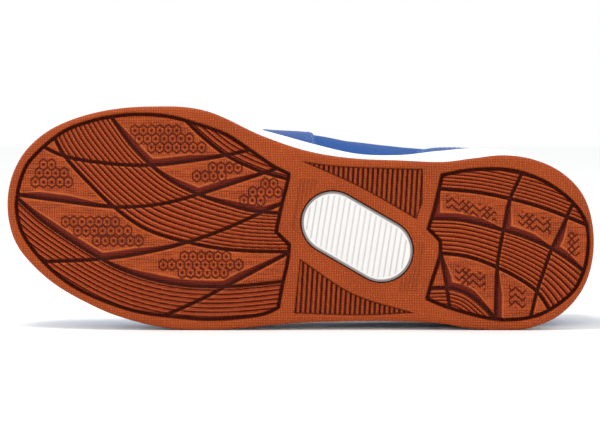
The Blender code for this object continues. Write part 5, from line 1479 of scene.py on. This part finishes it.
seam_low = np.maximum(seam_low, np.exp(-((end_share - 0.955) / 0.008) ** 2)[:, None] * 0.8 * MM)
half_thick = TONGUE_THICKNESS / 2 * puff
tongue_front = middle_line - down * (half_thick - seam_low * 0.7)[..., None]
tongue_back = middle_line + down * (half_thick - seam_low * 0.5)[..., None]
tongue_points, tongue_faces = sandwich(tongue_front, tongue_back)
tongue_cloth = np.zeros((2, TONGUE_ROWS, TONGUE_COLUMNS, 3))
tongue_cloth[..., 0] = running_length(tongue_top[:, TONGUE_COLUMNS // 2])[:, None]
tongue_cloth[..., 1] = running_length(tongue_top[TONGUE_ROWS // 2])
tongue_blue = cloth_material("tongue_blue_mesh", (0.010, 0.050, 0.200), (0.028, 0.115, 0.360), 800.0, 0.7,
                             0.2, 0.9)
tongue_piece = add_piece("tongue_pad", tongue_points, tongue_faces, "blue_upper", tongue_blue, "tongue",
                         mend=("turn",), sharp_deg=60,
                         cloth=tongue_cloth.reshape(-1, 3)[tongue_faces.reshape(-1)])


# Eyelets and lace
# Five punched holes a side with pressed rings, and one flat white polyester lace that crosses
# over the tongue and goes down through them. Its ends stay inside, under the top holes. Each hole
# is drawn as a near-black disc of painted shade.
EYELET_ROWS = 5
EYELET_FIRST = 0.285
EYELET_LAST = 0.575
EYELET_LEVEL = 0.93
EYELET_RADIUS = 2.9 * MM
EYELET_RING = 0.75 * MM
EYELET_POINTS = 28
TUBE_POINTS = 8
LACE_WIDTH = 5.6 * MM
LACE_THICKNESS = 1.15 * MM
LACE_GAP = 0.25 * MM
LACE_STEPS = 40
LACE_PROBE = 40 * MM
LACE_REACH = 60 * MM
LACE_DIVE = 1.6 * MM


def eyelet_frame(side, row):
    """Centre of an eyelet on the eyestay and its outward direction."""
    share = row / (EYELET_ROWS - 1)
    turn = np.array([turn_of(side, EYELET_FIRST + (EYELET_LAST - EYELET_FIRST) * share)])
    level = np.array([EYELET_LEVEL])
    return skin(turn, level, overlay_face)[0], upper_normal(turn, level)[0]


ring_points = []
hole_points = []
eyelet_angles = 2 * math.pi * np.arange(EYELET_POINTS) / EYELET_POINTS
tube_angles = 2 * math.pi * np.arange(TUBE_POINTS) / TUBE_POINTS
for side, row in [(side, row) for side in ("medial", "lateral") for row in range(EYELET_ROWS)]:
    centre, up = eyelet_frame(side, row)
    first = np.cross(up, (1.0, 0.0, 0.0))
    first /= np.linalg.norm(first)
    out = np.cos(eyelet_angles)[:, None] * first + np.sin(eyelet_angles)[:, None] * np.cross(up, first)
    for way in out:
        for lean in tube_angles:
            ring_points.append(centre + way * (EYELET_RADIUS + EYELET_RING * math.cos(lean))
                               + up * (EYELET_RING * 0.7 * math.sin(lean) + 0.1 * MM))
    # Near-black disc of painted shade over each hole, just proud of the eyestay
    for depth, size in ((0.12 * MM, 0.98), (-0.5 * MM, 0.8)):
        hole_points += list(centre + out * EYELET_RADIUS * size + up * depth)
ring_faces = []
hole_faces = []
for eyelet in range(2 * EYELET_ROWS):
    base = eyelet * EYELET_POINTS * TUBE_POINTS
    hole = eyelet * EYELET_POINTS * 2
    for around in range(EYELET_POINTS):
        after = (around + 1) % EYELET_POINTS
        for tube in range(TUBE_POINTS):
            beside = (tube + 1) % TUBE_POINTS
            ring_faces.append((base + around * TUBE_POINTS + tube, base + around * TUBE_POINTS + beside,
                               base + after * TUBE_POINTS + beside, base + after * TUBE_POINTS + tube))
        hole_faces.append((hole + around, hole + after, hole + EYELET_POINTS + after,
                           hole + EYELET_POINTS + around))
    hole_faces.append(tuple(range(hole + EYELET_POINTS, hole + 2 * EYELET_POINTS)))
    hole_faces.append(tuple(range(hole + EYELET_POINTS - 1, hole - 1, -1)))
eyelet_blue = leather_material("eyelet_ring_blue", (0.008, 0.035, 0.140), (0.014, 0.060, 0.210), 0.32)
add_piece("eyelet_rings", np.array(ring_points), ring_faces, "blue_overlay", eyelet_blue)
# Near-black material of the discs: painted shade standing for the holes
hole_painted_shade = leather_material("eyelet_hole_painted_shade", (0.004, 0.005, 0.009), (0.008, 0.010, 0.018), 0.9)
add_piece("eyelet_holes", np.array(hole_points), hole_faces, "dark_lining", hole_painted_shade, mend=(),
          sharp_deg=None, rounded=False)

lace_trees = standing_trees(["eyestay_panel", "tongue_pad", "upper_shell", "eyelet_rings"])
lace_points = []
lace_faces = []
lace_cloth = []
# Flat section of the lace with round sides, from 1 to -1 across and through it
LACE_SECTION = [(math.copysign(abs(math.cos(angle)) ** 0.55, math.cos(angle)),
                 math.copysign(abs(math.sin(angle)) ** 0.8, math.sin(angle)))
                for angle in np.linspace(0, 2 * math.pi, 14, endpoint=False)]


def lace_run(start, start_up, end, end_up, over):
    """One pass of the lace from hole to hole, pulled tight over what lies between them."""
    shares = np.linspace(0, 1, LACE_STEPS + 1)
    run = end - start
    length = np.linalg.norm(run)
    up = start_up + end_up
    up -= run * (up @ run) / (run @ run)
    up /= np.linalg.norm(up)
    side = np.cross(run / length, up)
    heights = []
    for share in shares:
        tallest = 0.0
        for nearby in (-0.02, 0.0, 0.02):
            for place_on in (-1.0, -0.5, 0.0, 0.5, 1.0):
                spot = start + run * (share + nearby) + side * (place_on * LACE_WIDTH / 2) + up * LACE_PROBE
                found = first_hit(lace_trees, spot, -up)
                if found is not None and found < LACE_REACH:
                    tallest = max(tallest, LACE_PROBE - found)
        heights.append(tallest)
    hull = np.array(heights)
    for index in range(len(shares)):
        for before in range(index):
            for after in range(index + 1, len(shares)):
                part = (shares[index] - shares[before]) / (shares[after] - shares[before])
                hull[index] = max(hull[index], heights[before] + (heights[after] - heights[before]) * part)
    level = hull + LACE_GAP + LACE_THICKNESS / 2
    level = level + over * np.exp(-((shares - 0.5) / 0.11) ** 2) * (LACE_THICKNESS + 0.15 * MM)
    from_hole = np.minimum(shares, 1 - shares) * length
    drop = 1 - ramp(from_hole, 0.0, 3.4 * MM)
    level = level * (1 - drop) - LACE_DIVE * drop
    narrow = 1 - 0.30 * (1 - ramp(from_hole, 0.0, 5.0 * MM))
    base = len(lace_points)
    for share, high, slim in zip(shares, level, narrow):
        middle = start + run * share + up * high
        for wide, thick in LACE_SECTION:
            lace_points.append(middle + side * wide * LACE_WIDTH / 2 * slim
                               + up * thick * LACE_THICKNESS / 2)
            lace_cloth.append((share * length, wide * LACE_WIDTH / 2, 0.0))
    around = len(LACE_SECTION)
    lace_faces.extend((ring_quads(LACE_STEPS + 1, around) + base).tolist())
    last = base + LACE_STEPS * around
    lace_faces.append(list(range(base, base + around)))
    lace_faces.append(list(range(last + around - 1, last - 1, -1)))


lace_run(*eyelet_frame("medial", 0), *eyelet_frame("lateral", 0), 0.0)
for row in range(EYELET_ROWS - 1):
    lace_run(*eyelet_frame("medial", row), *eyelet_frame("lateral", row + 1), 0.0)
    lace_run(*eyelet_frame("lateral", row), *eyelet_frame("medial", row + 1), 1.0)
lace_white = cloth_material("lace_white_braid", (0.66, 0.66, 0.65), (0.86, 0.86, 0.85), 1900.0, 0.75,
                            0.2, 0.8)
add_piece("lace_braid", np.array(lace_points), lace_faces, "white_lace", lace_white, "lace", mend=(),
          sharp_deg=None, cloth=[lace_cloth[corner] for face in lace_faces for corner in face])
